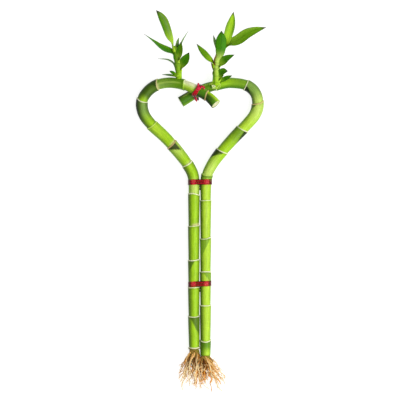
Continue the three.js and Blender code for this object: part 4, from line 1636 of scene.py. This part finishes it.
@dataclass(frozen=True)
class Shoot:
    """A leafy shoot: its stalk and its leaves."""

    side: str
    stalk: Sequence[Point]
    radii: Pairs
    leaves: Sequence[Leaf]
    stalk_tones: tuple[Tone, Tone] = (Tone.LIME, Tone.PALE)
    stalk_sides: int = 24
    stalk_rings: int = 70
    stalk_change: Pair = (0.1, 0.6)
    # How much painted shade darkens the stalk's flank.
    stalk_shade: float = 0.8
    scar_swell: float = 0.08
    scar_width: float = 0.7
    scar_line: float = 0.5
    scar_strength: float = 0.35
    tip_length: float = 2.5
    tip_taper: float = 0.6
    blade: float = 1.0
    thickness: float = 0.4
    edge_thinning: float = 0.4
    neck: float = 0.5
    leaf_tip: float = 0.5
    fold: float = 0.35
    clasp_bend: float = 1.3
    clasp_half_width: float = 3.0
    clasp_length: float = 0.3
    face_length: float = 0.45
    sheath: Pair = (2.5, 0.3)
    grid: tuple[int, int] = (14, 44)
    tip_crowding: float = 1.25
    part_digits: int = 4
    ripple: float = 0.12
    ripple_width: float = 8.0
    ripple_rate: float = 11.0
    ripple_phase: float = 1.7
    groove: float = 0.1
    groove_width: float = 0.35

    def half_width(self, leaf: Leaf, part: float) -> float:
        """Half of a leaf's width.

        Args:
            leaf: The leaf.
            part: The place along it, from 0 to 1.

        Returns:
            Half of its width there.
        """
        swell = mix(self.neck, 1.0, math.sin(math.pi / 2 * min(part / leaf.widest, 1.0)))
        taper = 1.0 - max((part - leaf.widest) / (1.0 - leaf.widest), 0.0) ** leaf.point
        opened = smooth(0.0, self.clasp_length, part)
        return max(mix(self.clasp_half_width, leaf.width / 2 * swell, opened) * taper, self.leaf_tip / 2)

    def leaf_mesh(self, leaf: Leaf, stalk: Route, number: int) -> Mesh:
        """One leaf, as a thin closed blade.

        Args:
            leaf: The leaf.
            stalk: The stalk's line.
            number: The leaf's number, for its ripple.

        Returns:
            Its mesh.
        """
        foot = stalk.section(leaf.start)
        outward = foot.out(math.radians(leaf.turned))
        start = foot.point + outward * value_at(self.radii, leaf.start / stalk.total)
        rise = start + foot.along * self.sheath[0] + outward * self.sheath[1]
        route = Route([start, rise, *leaf.path])
        bm = bmesh.new()
        straight = bm.verts.layers.float_vector.new("straight")
        skin = bm.verts.layers.float_color.new("skin")
        bmesh.ops.create_grid(bm, x_segments=self.grid[0], y_segments=self.grid[1], size=1.0)
        bmesh.ops.solidify(bm, geom=bm.faces[:], thickness=self.blade)
        sections: dict[float, Section] = {}
        for vert in bm.verts:
            across, height = vert.co.x, vert.co.z
            level = height + self.blade / 2
            part = round(1.0 - ((1.0 - vert.co.y) / 2.0) ** self.tip_crowding, self.part_digits)
            if part not in sections:
                sections[part] = route.section(part * route.total)
            section = sections[part]
            face = section.out(math.radians(leaf.face + leaf.twist * part))
            if leaf.shows_underside:
                face = -face
            opened = smooth(0.0, self.face_length, part)
            facing = (-outward).lerp(face, opened)
            facing = (facing - section.along * section.along.dot(facing)).normalized()
            sideways = section.along.cross(facing)
            curl = mix(self.clasp_bend, self.fold, opened)
            half = self.half_width(leaf, part)
            bend = curl * across
            normal = facing * math.cos(bend) - sideways * math.sin(bend)
            wave = self.ripple * leaf.width / self.ripple_width * across * abs(across)
            wave *= math.sin(part * self.ripple_rate + number * self.ripple_phase)
            groove = self.groove * hump(across * half, self.groove_width)
            thickness = self.thickness * level * (1.0 - self.edge_thinning * across**2)
            rise = (wave - groove) * opened * (1.0 - part) + thickness
            vert.co = (section.point + sideways * (half / curl * math.sin(bend))
                       + facing * (half / curl * (1.0 - math.cos(bend))) + normal * rise)
            top = (level > 0.0) != leaf.shows_underside
            vert[straight] = (across * half, part * route.total, height)
            vert[skin] = (*leaf.tones.at(across, part, top), 1.0)
        return bm

    def stalk_colour(self, place: Vector, total: float) -> Colour:
        """The stalk's colour, with painted shade on one flank.

        Args:
            place: The place on the straight stalk.
            total: The stalk's length.

        Returns:
            The colour.
        """
        foot, head = (tone.light for tone in self.stalk_tones)
        scar = max(hump(place.z - leaf.start, self.scar_line) for leaf in self.leaves)
        # Painted shade on the stalk's flank towards -1 across.
        flank = smooth(0.0, -1.0, math.cos(math.atan2(place.y, place.x)))
        shaded = mix(foot, head, smooth(*self.stalk_change, place.z / total))
        shaded = mix(shaded, Tone.IVY.light, self.stalk_shade * flank)
        return mix(shaded, Tone.MOSS.light, self.scar_strength * scar)

    def stalk_mesh(self, stalk: Route) -> Mesh:
        """The stalk, a little swollen at each leaf's foot.

        Args:
            stalk: The stalk's line.

        Returns:
            Its mesh, with the straight form turned as a leaf's is.
        """
        stations = []
        for at in even_steps(stalk.total, self.stalk_rings):
            swell = sum(self.scar_swell * hump(at - leaf.start, self.scar_width) for leaf in self.leaves)
            end = 1.0 - self.tip_taper * smooth(stalk.total - self.tip_length, stalk.total, at)
            stations.append(Station(at, (value_at(self.radii, at / stalk.total) + swell) * end))
        bm = Tube(stalk, stations, self.stalk_sides).finished()
        paint(bm, lambda place: self.stalk_colour(place, stalk.total))
        straight = bm.verts.layers.float_vector["straight"]
        for vert in bm.verts:
            vert[straight] = vert[straight].xzy
        return bm

    def build(self, finish: Material) -> None:
        """Builds the stalk and the leaves.

        Args:
            finish: Their finish.
        """
        node, slot = f"shoot_{self.side}", f"leaf_{self.side}"
        stalk = Route(self.stalk)
        Piece(f"{node}_stalk", node, slot).make(self.stalk_mesh(stalk), finish)
        leaves = Bundle()
        for number, leaf in enumerate(self.leaves):
            leaves.add(self.leaf_mesh(leaf, stalk, number))
        Piece(f"{node}_leaves", node, slot).make(leaves.bm, finish)


GREY_LEAF = LeafTones(Tone.IVY, Tone.MIST, Tone.SAGE, Tone.MIST, Tone.DUSK, Tone.MIST)
FRESH_LEAF = LeafTones(Tone.BRIGHT, Tone.FERN, Tone.JADE, Tone.FERN)
LIME_SCALE = LeafTones(Tone.BRIGHT, Tone.LIME, Tone.PALE, Tone.PALE, Tone.PALE, Tone.LIME, 0.6, 0.0)
HUSK_SCALE = LeafTones(Tone.LIME, Tone.GRASS, Tone.CREAM, Tone.GRASS, Tone.CREAM, Tone.LIME, 0.5, 0.0)
DRY_SCALE = LeafTones(Tone.BROWN, Tone.BROWN, Tone.BROWN, Tone.TAN, Tone.UMBER, Tone.BROWN, 0.3, 0.4)

LEFT_SHOOT = Shoot(
    side="left",
    stalk=(
        (-21, 98.3, 12.4), (-21.1, 104, 12.4), (-21.3, 110, 12.4), (-22, 117, 12.6), (-23.2, 125, 13),
        (-24.4, 131, 13.6), (-25.4, 136, 14),
    ),
    radii=((0, 3.0), (0.3, 3.1), (0.5, 3.5), (0.7, 2.9), (1, 2.2)),
    leaves=(
        Leaf(32, -70, 9, 0.66, 2.2, 20, (
            (-28, 137, 15.4), (-31, 146, 16.4), (-33.4, 153.4, 17), (-36.2, 160.6, 17), (-39.6, 166.4, 16),
            (-43.8, 171.4, 15)), tones=LeafTones(Tone.BRIGHT, Tone.FERN, Tone.IVY, Tone.GRASS, sheen=0.25)),
        Leaf(24, -90, 10.4, 0.26, 1.15, 30, (
            (-27, 127.6, 14), (-33, 131.4, 14.6), (-39.6, 135.4, 14.8), (-46, 140.4, 14),
            (-55.8, 147.8, 12.4)), twist=40, tones=LeafTones(Tone.JADE, Tone.JADE, Tone.JADE, Tone.FERN)),
        Leaf(13, -100, 5, 0.4, 1.4, 68, ((-27, 118.5, 10), (-32, 122, 8), (-42, 123.4, 5.5)),
             tones=GREY_LEAF),
        Leaf(11, 80, 9.4, 0.58, 1.9, -24, ((-19, 116, 15.4), (-14.8, 121.6, 18.6), (-10.8, 129, 21)),
             twist=10),
        Leaf(20, 50, 7.6, 0.56, 1.8, -36, ((-20.6, 125.4, 17), (-19.6, 132.4, 18.6), (-18.9, 140, 19)),
             tones=FRESH_LEAF),
        Leaf(30, 120, 5, 0.4, 1.4, 74, ((-20.6, 135, 12.5), (-17.6, 141.8, 11.5), (-11.6, 151, 9.5)),
             tones=GREY_LEAF),
        Leaf(32, 170, 4.6, 0.5, 1.8, 45, ((-23.2, 136.4, 12.5), (-22.2, 141, 12.5), (-20.9, 144.2, 12)),
             tones=GREY_LEAF),
        Leaf(6.5, -50, 5, 0.6, 2.2, 50, ((-24, 106.8, 15.2), (-27, 108.6, 17), (-30.4, 110.6, 18))),
        Leaf(6, -110, 4.2, 0.45, 1.5, 58, ((-25.5, 105.8, 11.4), (-30, 106.6, 10.4), (-37.8, 107.4, 9))),
    ),
    stalk_tones=(Tone.LIME, Tone.GRASS),
)

RIGHT_SHOOT = Shoot(
    side="right",
    stalk=(
        (16.2, 96.7, 6.5), (16.4, 98.2, 11.5), (16.6, 101.4, 14.5), (16.6, 108, 16.6), (16.4, 115, 17.6),
        (17.6, 123, 18.4), (20.2, 130, 19), (23, 135, 19.4),
    ),
    radii=((0, 4.5), (0.2, 4.2), (0.45, 3.5), (1, 2.3)),
    leaves=(
        Leaf(42, 150, 9.6, 0.56, 1.8, 15, (
            (26.4, 141.4, 20.4), (28.8, 150, 21.4), (31.4, 159.6, 21), (33.5, 169.8, 19)),
            tones=LeafTones(Tone.BRIGHT, Tone.LIME, Tone.GRASS, Tone.FERN)),
        Leaf(38, 90, 11, 0.52, 1.7, -12, (
            (30, 137.6, 20), (38.4, 141.8, 21.4), (47, 147.8, 21), (56, 151.6, 19), (66, 154.2, 16)),
            tones=LeafTones(Tone.GRASS, Tone.FERN, Tone.GRASS, Tone.FERN, outline=0.9)),
        Leaf(28, 0, 11, 0.66, 1.9, 4, (
            (19.2, 125, 22), (20.6, 133, 24), (21.2, 141, 25), (21.4, 150.4, 25.4)), shows_underside=True,
             tones=LeafTones(Tone.PALE, Tone.JADE, Tone.JADE, Tone.JADE, Tone.DEEP, Tone.JADE, 0.47)),
        Leaf(22, -80, 7, 0.55, 1.7, 25, ((11.8, 119.4, 18.6), (6.4, 125.6, 20), (1.4, 131.4, 20),
             (-3.4, 137.8, 19)), tones=LeafTones(Tone.LIME, Tone.FERN, Tone.IVY, Tone.FERN, outline=0.8)),
        Leaf(21, 70, 8.4, 0.5, 1.5, -25, ((20.4, 116.6, 21), (25.6, 122.4, 22.4), (34.4, 126.9, 22))),
        Leaf(9.5, 60, 8, 0.62, 2.2, -25, ((19.6, 104.8, 19.2), (22.4, 109.6, 22), (27.6, 110.4, 24))),
        Leaf(5.5, 100, 5.4, 0.55, 1.9, -32, ((21, 100.6, 15.2), (26, 103.4, 16.2), (32, 106.2, 16))),
        Leaf(6, -60, 4.6, 0.5, 1.6, 30, ((14.4, 101.2, 17.2), (14.4, 105.4, 18.2), (13.2, 111, 18.4))),
        Leaf(15, -100, 3.8, 0.5, 1.6, 50, ((13.8, 111, 16.4), (12.4, 115.4, 16.2), (10.8, 119.4, 15.6)),
             tones=LeafTones(Tone.OLIVE, Tone.OLIVE, Tone.BROWN, Tone.OLIVE)),
        Leaf(25, -60, 2.2, 0.5, 1.6, 10, ((16.4, 126.6, 20.6), (16.4, 129.4, 20.8), (16.9, 131.8, 20.6)),
             tones=DRY_SCALE),
        Leaf(32, 190, 4.6, 0.6, 2, 45, ((17, 132.6, 15.4), (14.8, 140, 13.6), (13.4, 146.4, 12)),
             tones=GREY_LEAF),
        Leaf(4.5, -50, 4.4, 0.45, 1.6, 20, ((13.4, 98.8, 14.6), (11.4, 98.4, 14.2), (9.4, 97, 13.2)),
             tones=LIME_SCALE),
        Leaf(4, 0, 4.4, 0.4, 1.6, 0, ((16.6, 95.6, 15), (16, 94.4, 14.6), (15, 93.2, 13.8)),
             tones=LIME_SCALE),
        Leaf(4.2, -25, 5.2, 0.45, 1.6, 10, ((14.4, 97.2, 15.6), (13.2, 95.2, 14.8), (12.2, 92.9, 13.8)),
             tones=HUSK_SCALE),
        Leaf(4.2, 30, 4.6, 0.45, 1.6, -10, ((18.6, 97.4, 15.6), (19.2, 95.6, 14.8), (19.4, 93.8, 13.8)),
             tones=LIME_SCALE),
    ),
    stalk_tones=(Tone.LIME, Tone.PALE),
)


# ------------------------------------------------------------------------------------------------
# Roots
# ------------------------------------------------------------------------------------------------


class Dice:
    """Numbers from 0 to 1 that look random and are the same each time. The roots of the CAD model
    are drawn by the same rule."""

    FACTOR = 16807
    MODULUS = 2147483647

    def __init__(self, seed: int) -> None:
        """Starts from a seed."""
        self.state = seed

    def throw(self) -> float:
        """The next number."""
        self.state = self.state * self.FACTOR % self.MODULUS
        return self.state / self.MODULUS


@dataclass(frozen=True)
class Hair:
    """A fine root off another root: where it starts, as a share of the other's length, how far aside
    it heads, its bends and strides, its distance from the bunch's sides, its size and its paleness."""

    start: Pair = (0.25, 0.9)
    aside: Pair = (0.6, 1.6)
    bends: int = 4
    bend: float = 0.55
    pull: Point = (0.0, -0.1, -0.08)
    stride: Pair = (1.4, 3.6)
    margin: float = 0.6
    thick: float = 0.3
    thin: float = 0.15
    sides: int = 5
    paleness: float = 0.8


@dataclass(frozen=True)
class RootBunch:
    """A short brown crown and the bare roots that grow from it."""

    side_name: str
    cane: Cane
    crown_length: float
    radius: float
    side: int
    lean: float
    seed: int
    crown_shape: Pairs = ((0, 1), (0.15, 0.95), (0.5, 0.98), (0.85, 0.75), (1, 0.45))
    crown_lean: float = 1.0
    crown_sides: int = 28
    crown_rings: int = 16
    crown_knots: Pair = (0.95, 1.02)
    crown_blotch: Pair = (2.3, 1.9)
    crown_gold: Pair = (0.45, 0.45)
    crown_flank: Pair = (0.2, -0.9)
    crown_olive: Pair = (0.4, 0.5)
    gap: float = 0.25
    count: int = 28
    inner: int = 26
    inner_seed: int = 9
    extra: int = 16
    extra_seed: int = 5
    hair: Hair = Hair()
    hairs: int = 3
    steps: int = 5
    thick: float = 0.9
    thin: float = 0.34
    knots: Pair = (0.88, 1.12)
    root_sides: int = 8
    ring_step: float = 1.1
    fewest_rings: int = 4
    taper: float = 0.8
    floor: float = 0.9
    kinked_floor: float = 0.54
    lengths: Pair = (15, 32)
    places: Pair = (0.04, 0.95)
    depth: float = 0.8
    splay: Pair = (0.9, 0.5)
    flatten: float = 0.6
    wander: Pair = (0.7, 0.5)
    droop: float = 0.2
    pull: float = 0.3
    golden_turn: float = 2.4
    kink: float = 1.1
    kink_step: float = 4.0
    fewest_kinks: int = 3
    margin: float = 0.0
    pale: float = 1.15
    brown_shares: Sequence[float] = (0.0, 0.2, 0.5, 1.0)
    amber_shares: Sequence[float] = (0.0, 0.05, 0.15, 0.4, 0.9)
    change: float = 0.55
    divide: Pairs = ((-206, -4), (-176, 0.2))
    clearance: float = 1.1

    @property
    def node(self) -> str:
        """The CAD node that the bunch stands for."""
        return f"roots_{self.side_name}"

    @cached_property
    def box(self) -> tuple[np.ndarray, np.ndarray]:
        """The node's lowest and highest corners."""
        low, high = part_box(self.node)
        return np.array(low) / MM, np.array(high) / MM

    def crown_route(self) -> Route:
        """The crown's line, on from the cane's lower end.

        Returns:
            The line.
        """
        section = self.cane.route.section(0.0)
        top = section.point - section.along * self.gap
        middle = top - section.along * (self.crown_length / 2)
        bottom = top - section.along * self.crown_length
        bottom += Vector((self.side * self.crown_lean, 0.0, -self.crown_lean))
        return Route([top, middle, bottom])

    def kept(self, point: Sequence[float], margin: float) -> Vector:
        """The point, moved into the node's box and away from its sides by a margin."""
        low, high = self.box
        return Vector(np.clip(np.array(point), low + margin, high - margin))

    def root_points(self, crown: Route, number: int, count: int, dice: Dice) -> list[Vector]:
        """The points of one root's line, out of the crown and down to the surface.

        Args:
            crown: The crown's line.
            number: The root's number.
            count: How many roots there are.
            dice: The source of its bends.

        Returns:
            The points.
        """
        part = (number + 0.5) / count
        start = crown.section(mix(*self.places, part) * crown.total)
        out = start.out(number * self.golden_turn)
        splay = mix(*self.splay, part)
        heading = Vector((out.x * splay + self.side * self.lean, -1.0, out.z * splay * self.flatten))
        stride = mix(*self.lengths, dice.throw()) / self.steps
        points = [start.point + out * (self.radius * self.depth)]
        for _ in range(self.steps):
            heading.x += (dice.throw() - 0.5) * self.wander[0] + self.side * self.lean * self.pull
            heading.y -= self.pull
            heading.z += (dice.throw() - 0.5) * self.wander[1] - self.droop
            heading.normalize()
            point = points[-1] + heading * stride
            limit = value_at(self.divide, point.y) + self.side * self.clearance
            point.x = self.side * max(self.side * point.x, self.side * limit)
            point.z = max(point.z, self.floor)
            points.append(point)
        if self.margin:
            points = [self.kept(point, self.margin) for point in points]
        return points

    def kinked(self, points: Sequence[Vector], wild: random.Random) -> Route:
        """A root's line with small kinks between its points.

        Args:
            points: The points.
            wild: The source of the kinks.

        Returns:
            The line.
        """
        plain = Route(points)
        count = max(int(plain.total / self.kink_step), self.fewest_kinks)
        found = []
        for at in even_steps(plain.total, count):
            place = plain.point(at)
            if at > 0.0:
                place += Vector([wild.uniform(-self.kink, self.kink) for _ in range(3)])
            found.append((place.x, place.y, max(place.z, self.kinked_floor)))
        return Route(found)

    def root_mesh(self, route: Route, tones: tuple[Colour, Colour], wild: random.Random) -> Mesh:
        """One root, tapered and a little knotty.

        Args:
            route: Its line.
            tones: Its colours at the crown and at the tip.
            wild: The source of its knots.

        Returns:
            Its mesh.
        """
        stations = []
        for part in even_steps(1.0, max(int(route.total / self.ring_step), self.fewest_rings)):
            radius = mix(self.thick, self.thin, part**self.taper) * wild.uniform(*self.knots)
            stations.append(Station(route.total * part, radius))
        bm = Tube(route, stations, self.root_sides).finished()
        paint(bm, lambda place: mix(*tones, smooth(0.0, self.change, place.z / route.total)))
        return bm

    def tones(self, wild: random.Random) -> tuple[Colour, Colour]:
        """A root's colours at the crown and at the tip.

        Args:
            wild: The source of the choice.

        Returns:
            The two colours.
        """
        foot = mix(Tone.GOLD.light, Tone.BROWN.light, wild.choice(self.brown_shares))
        tip = mix(Tone.STRAW.light, Tone.AMBER.light, wild.choice(self.amber_shares))
        return foot * self.pale, tip * self.pale

    @staticmethod
    def dark_tones(wild: random.Random) -> tuple[Colour, Colour]:
        """An inner root's colours at the crown and at the tip: browns and olive of its own, darkened further
        as painted shade deep in the bunch.
        """
        return (wild.choice((Tone.UMBER, Tone.BROWN, Tone.OLIVE)).light,
                wild.choice((Tone.AMBER, Tone.AMBER, Tone.GOLD, Tone.BROWN, Tone.OLIVE)).light)

    def build(self, finish: Material) -> None:
        """Builds the crown, the roots and the fine roots between them.

        Args:
            finish: Their finish.
        """
        crown = self.crown_route()
        wild = random.Random(self.seed)
        self.build_crown(crown, wild, finish)
        main, fine = Bundle(), Bundle()
        dice = Dice(self.seed)
        for number in range(self.count):
            route = self.kinked(self.root_points(crown, number, self.count, dice), wild)
            main.add(self.root_mesh(route, self.tones(wild), wild))
            for _ in range(self.hairs):
                fine.add(self.hair_mesh(route, wild))
        # Shorter roots inside the bunch, in darker tones that are partly their own and partly painted shade.
        inward = replace(self, lengths=(8, 17), wander=(1.5, 0.6), droop=0.35, splay=(0.7, 0.5), lean=-0.1,
                         thin=self.thin * 1.3, kink=1.2, margin=1.0)
        dice = Dice(self.seed + self.inner_seed)
        for number in range(self.inner):
            points = inward.root_points(crown, number, self.inner, dice)
            tones = self.dark_tones(wild)
            main.add(inward.root_mesh(inward.kinked(points, wild), tones, wild))
        swinging = replace(self, wander=(1.7, 0.6), lean=-self.lean, splay=(1.1, 0.7),
                           thick=self.thick * 0.6, thin=self.thin * 0.8, root_sides=6, kink=1.6,
                           margin=0.8)
        dice = Dice(self.seed + self.extra_seed)
        for number in range(self.extra):
            route = swinging.kinked(swinging.root_points(crown, number, self.extra, dice), wild)
            fine.add(swinging.root_mesh(route, self.tones(wild), wild))
            fine.add(self.hair_mesh(route, wild))
        Piece(f"{self.node}_main", self.node, "root").make(main.bm, finish)
        Piece(f"{self.node}_fine", self.node, "root").make(fine.bm, finish)

    def hair_mesh(self, route: Route, wild: random.Random) -> Mesh:
        """A fine root off another root, kept within the bunch.

        Args:
            route: The other root's line.
            wild: The source of its place and bends.

        Returns:
            Its mesh.
        """
        hair = self.hair
        section = route.section(wild.uniform(*hair.start) * route.total)
        aside = section.out(wild.uniform(0, math.tau)) * wild.uniform(*hair.aside)
        heading = (section.along + aside).normalized()
        points = [section.point]
        for _ in range(hair.bends):
            heading += Vector([wild.uniform(-hair.bend, hair.bend) for _ in range(3)]) + Vector(hair.pull)
            heading.normalize()
            points.append(self.kept(points[-1] + heading * wild.uniform(*hair.stride), hair.margin))
        foot, tip = self.tones(wild)
        thin = replace(self, thick=hair.thick, thin=hair.thin, root_sides=hair.sides)
        return thin.root_mesh(Route(points), (mix(foot, tip, hair.paleness), tip), wild)

    def crown_colour(self, place: Vector) -> Colour:
        """The crown's colour.

        Args:
            place: The place on the straight crown.

        Returns:
            The colour.
        """
        flank = smooth(*self.crown_flank, place.x / self.radius)
        blotch = math.sin(place.z * self.crown_blotch[0] + place.x * self.crown_blotch[1])
        (gold, blotched), (olive, flanked) = self.crown_gold, self.crown_olive
        bare = mix(Tone.BROWN.light, Tone.GOLD.light, gold + blotched * blotch)
        return mix(bare, Tone.OLIVE.light, olive + flanked * flank)

    def build_crown(self, crown: Route, wild: random.Random, finish: Material) -> None:
        """Builds the knotty crown.

        Args:
            crown: Its line.
            wild: The source of its knots.
            finish: Its finish.
        """
        stations = []
        for part in even_steps(1.0, self.crown_rings):
            radius = self.radius * value_at(self.crown_shape, part) * wild.uniform(*self.crown_knots)
            stations.append(Station(crown.total * part, radius))
        bm = Tube(crown, stations, self.crown_sides).finished()
        paint(bm, self.crown_colour)
        Piece(f"{self.node}_crown", self.node, "root").make(bm, finish)


# ------------------------------------------------------------------------------------------------
# Studio
# ------------------------------------------------------------------------------------------------


@dataclass(frozen=True)
class Studio:
    """A pale floor, soft light from the right and a camera straight above."""

    floor_size: float = 4.0
    floor_drop: float = 0.0001
    floor_tone: float = 0.36
    floor_grain: Grain = Grain((1.0, 1.0, 1.0), 40.0, shade=(1.0, 0.99))
    floor_glow: float = 0.84
    floor_roughness: float = 0.9
    floor_specular: float = 0.1
    fill: Pair = (0.3, 0.8)
    key_power: float = 26.0
    key_place: Point = (0.95, -0.35, 1.45)
    key_size: float = 1.2
    lens: float = 360.0
    sensor: float = 36.0
    view_reach: float = 20.0
    camera_place: Point = (0.0, -0.018, 4.007)

    def build(self) -> None:
        """Builds the floor, the lights and the camera."""
        self.floor()
        self.lights()
        self.camera()
        bpy.context.scene.view_settings.view_transform = "Standard"

    def floor(self) -> None:
        """Builds the plain pale floor."""
        bm = bmesh.new()
        bmesh.ops.create_grid(bm, x_segments=1, y_segments=1, size=self.floor_size)
        bmesh.ops.translate(bm, vec=(0.0, 0.0, -self.floor_drop), verts=bm.verts[:])
        mesh = bpy.data.meshes.new("floor")
        bm.to_mesh(mesh)
        bm.free()
        recipe = Recipe("pale_floor")
        grain = recipe.noise(recipe.node("ShaderNodeTexCoord").outputs["Object"], self.floor_grain)
        first, second = ((self.floor_tone * shade,) * 3 + (1.0,) for shade in self.floor_grain.shade)
        recipe.set(base_color=recipe.blend(grain, first, second), roughness=self.floor_roughness,
                   specular_ior_level=self.floor_specular, emission_color=(1.0, 1.0, 1.0, 1.0),
                   emission_strength=self.floor_glow)
        mesh.materials.append(recipe.material)
        floor = bpy.data.objects.new("floor", mesh)
        bpy.context.scene.collection.objects.link(floor)
        floor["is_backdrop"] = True

    def lights(self) -> None:
        """Lights the scene: the fill, brighter on the right, and the soft key light."""
        world = bpy.data.worlds.new("studio")
        bpy.context.scene.world = world
        world.use_nodes = True
        nodes, links = world.node_tree.nodes, world.node_tree.links
        background = next(node for node in nodes if node.type == "BACKGROUND")
        background.inputs["Color"].default_value = (1.0, 1.0, 1.0, 1.0)
        split = nodes.new("ShaderNodeSeparateXYZ")
        links.new(nodes.new("ShaderNodeTexCoord").outputs["Generated"], split.inputs[0])
        rise = nodes.new("ShaderNodeMapRange")
        links.new(split.outputs["X"], rise.inputs["Value"])
        for name, value in (("From Min", -1.0), ("To Min", self.fill[0]), ("To Max", self.fill[1])):
            rise.inputs[name].default_value = value
        links.new(rise.outputs["Result"], background.inputs["Strength"])
        lamp = bpy.data.lights.new("key_light", "AREA")
        lamp.shape = "SQUARE"
        lamp.size = self.key_size
        lamp.energy = self.key_power
        key = bpy.data.objects.new("key_light", lamp)
        key.location = self.key_place
        key.rotation_euler = (-Vector(self.key_place)).to_track_quat("-Z", "Y").to_euler()
        bpy.context.scene.collection.objects.link(key)

    def camera(self) -> None:
        """The camera, looking straight down."""
        data = bpy.data.cameras.new("camera")
        data.lens = self.lens
        data.sensor_width = self.sensor
        data.clip_end = self.view_reach
        camera = bpy.data.objects.new("camera", data)
        camera.location = self.camera_place
        bpy.context.scene.collection.objects.link(camera)
        bpy.context.scene.camera = camera


LEFT_ROOTS = RootBunch("left", LEFT_CANE, 12, 5.2, -1, 0.15, 11)
RIGHT_ROOTS = RootBunch("right", RIGHT_CANE, 9, 4.9, 1, 0.45, 29)


def write_sizes() -> None:
    """Works out the CAD model's box and the visual model's box as plain numbers, which are not kept."""
    boxes = {"cad": CAD_BOX, "visual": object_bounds()}
    plain = {name: [[float(value) for value in corner] for corner in box] for name, box in boxes.items()}


def main() -> None:
    """Builds the plant and its studio."""
    logging.basicConfig(level=logging.INFO, format="%(message)s")
    skin, pith = CaneSkin().material(), CutPith().material()
    for cane in (LEFT_CANE, RIGHT_CANE):
        cane.build(skin, pith)
    leaf = LeafSkin().material()
    for shoot in (LEFT_SHOOT, RIGHT_SHOOT):
        shoot.build(leaf)
    bark = RootSkin().material()
    for bunch in (LEFT_ROOTS, RIGHT_ROOTS):
        bunch.build(bark)
    coat, core = WireCoat().material(), WireCore().material()
    wire = Wire(width=1.0, height=0.7)
    Band("tie_upper_wire", "tie_upper", 0.0).build(wire, coat, core)
    Band("tie_lower_wire", "tie_lower", -101.8, tilt=0.035).build(wire, coat, core)
    CrossingLashing().build(Wire(width=1.1, height=0.95), coat, core)
    Studio().build()
    write_sizes()


if __name__ == "__main__":
    main()
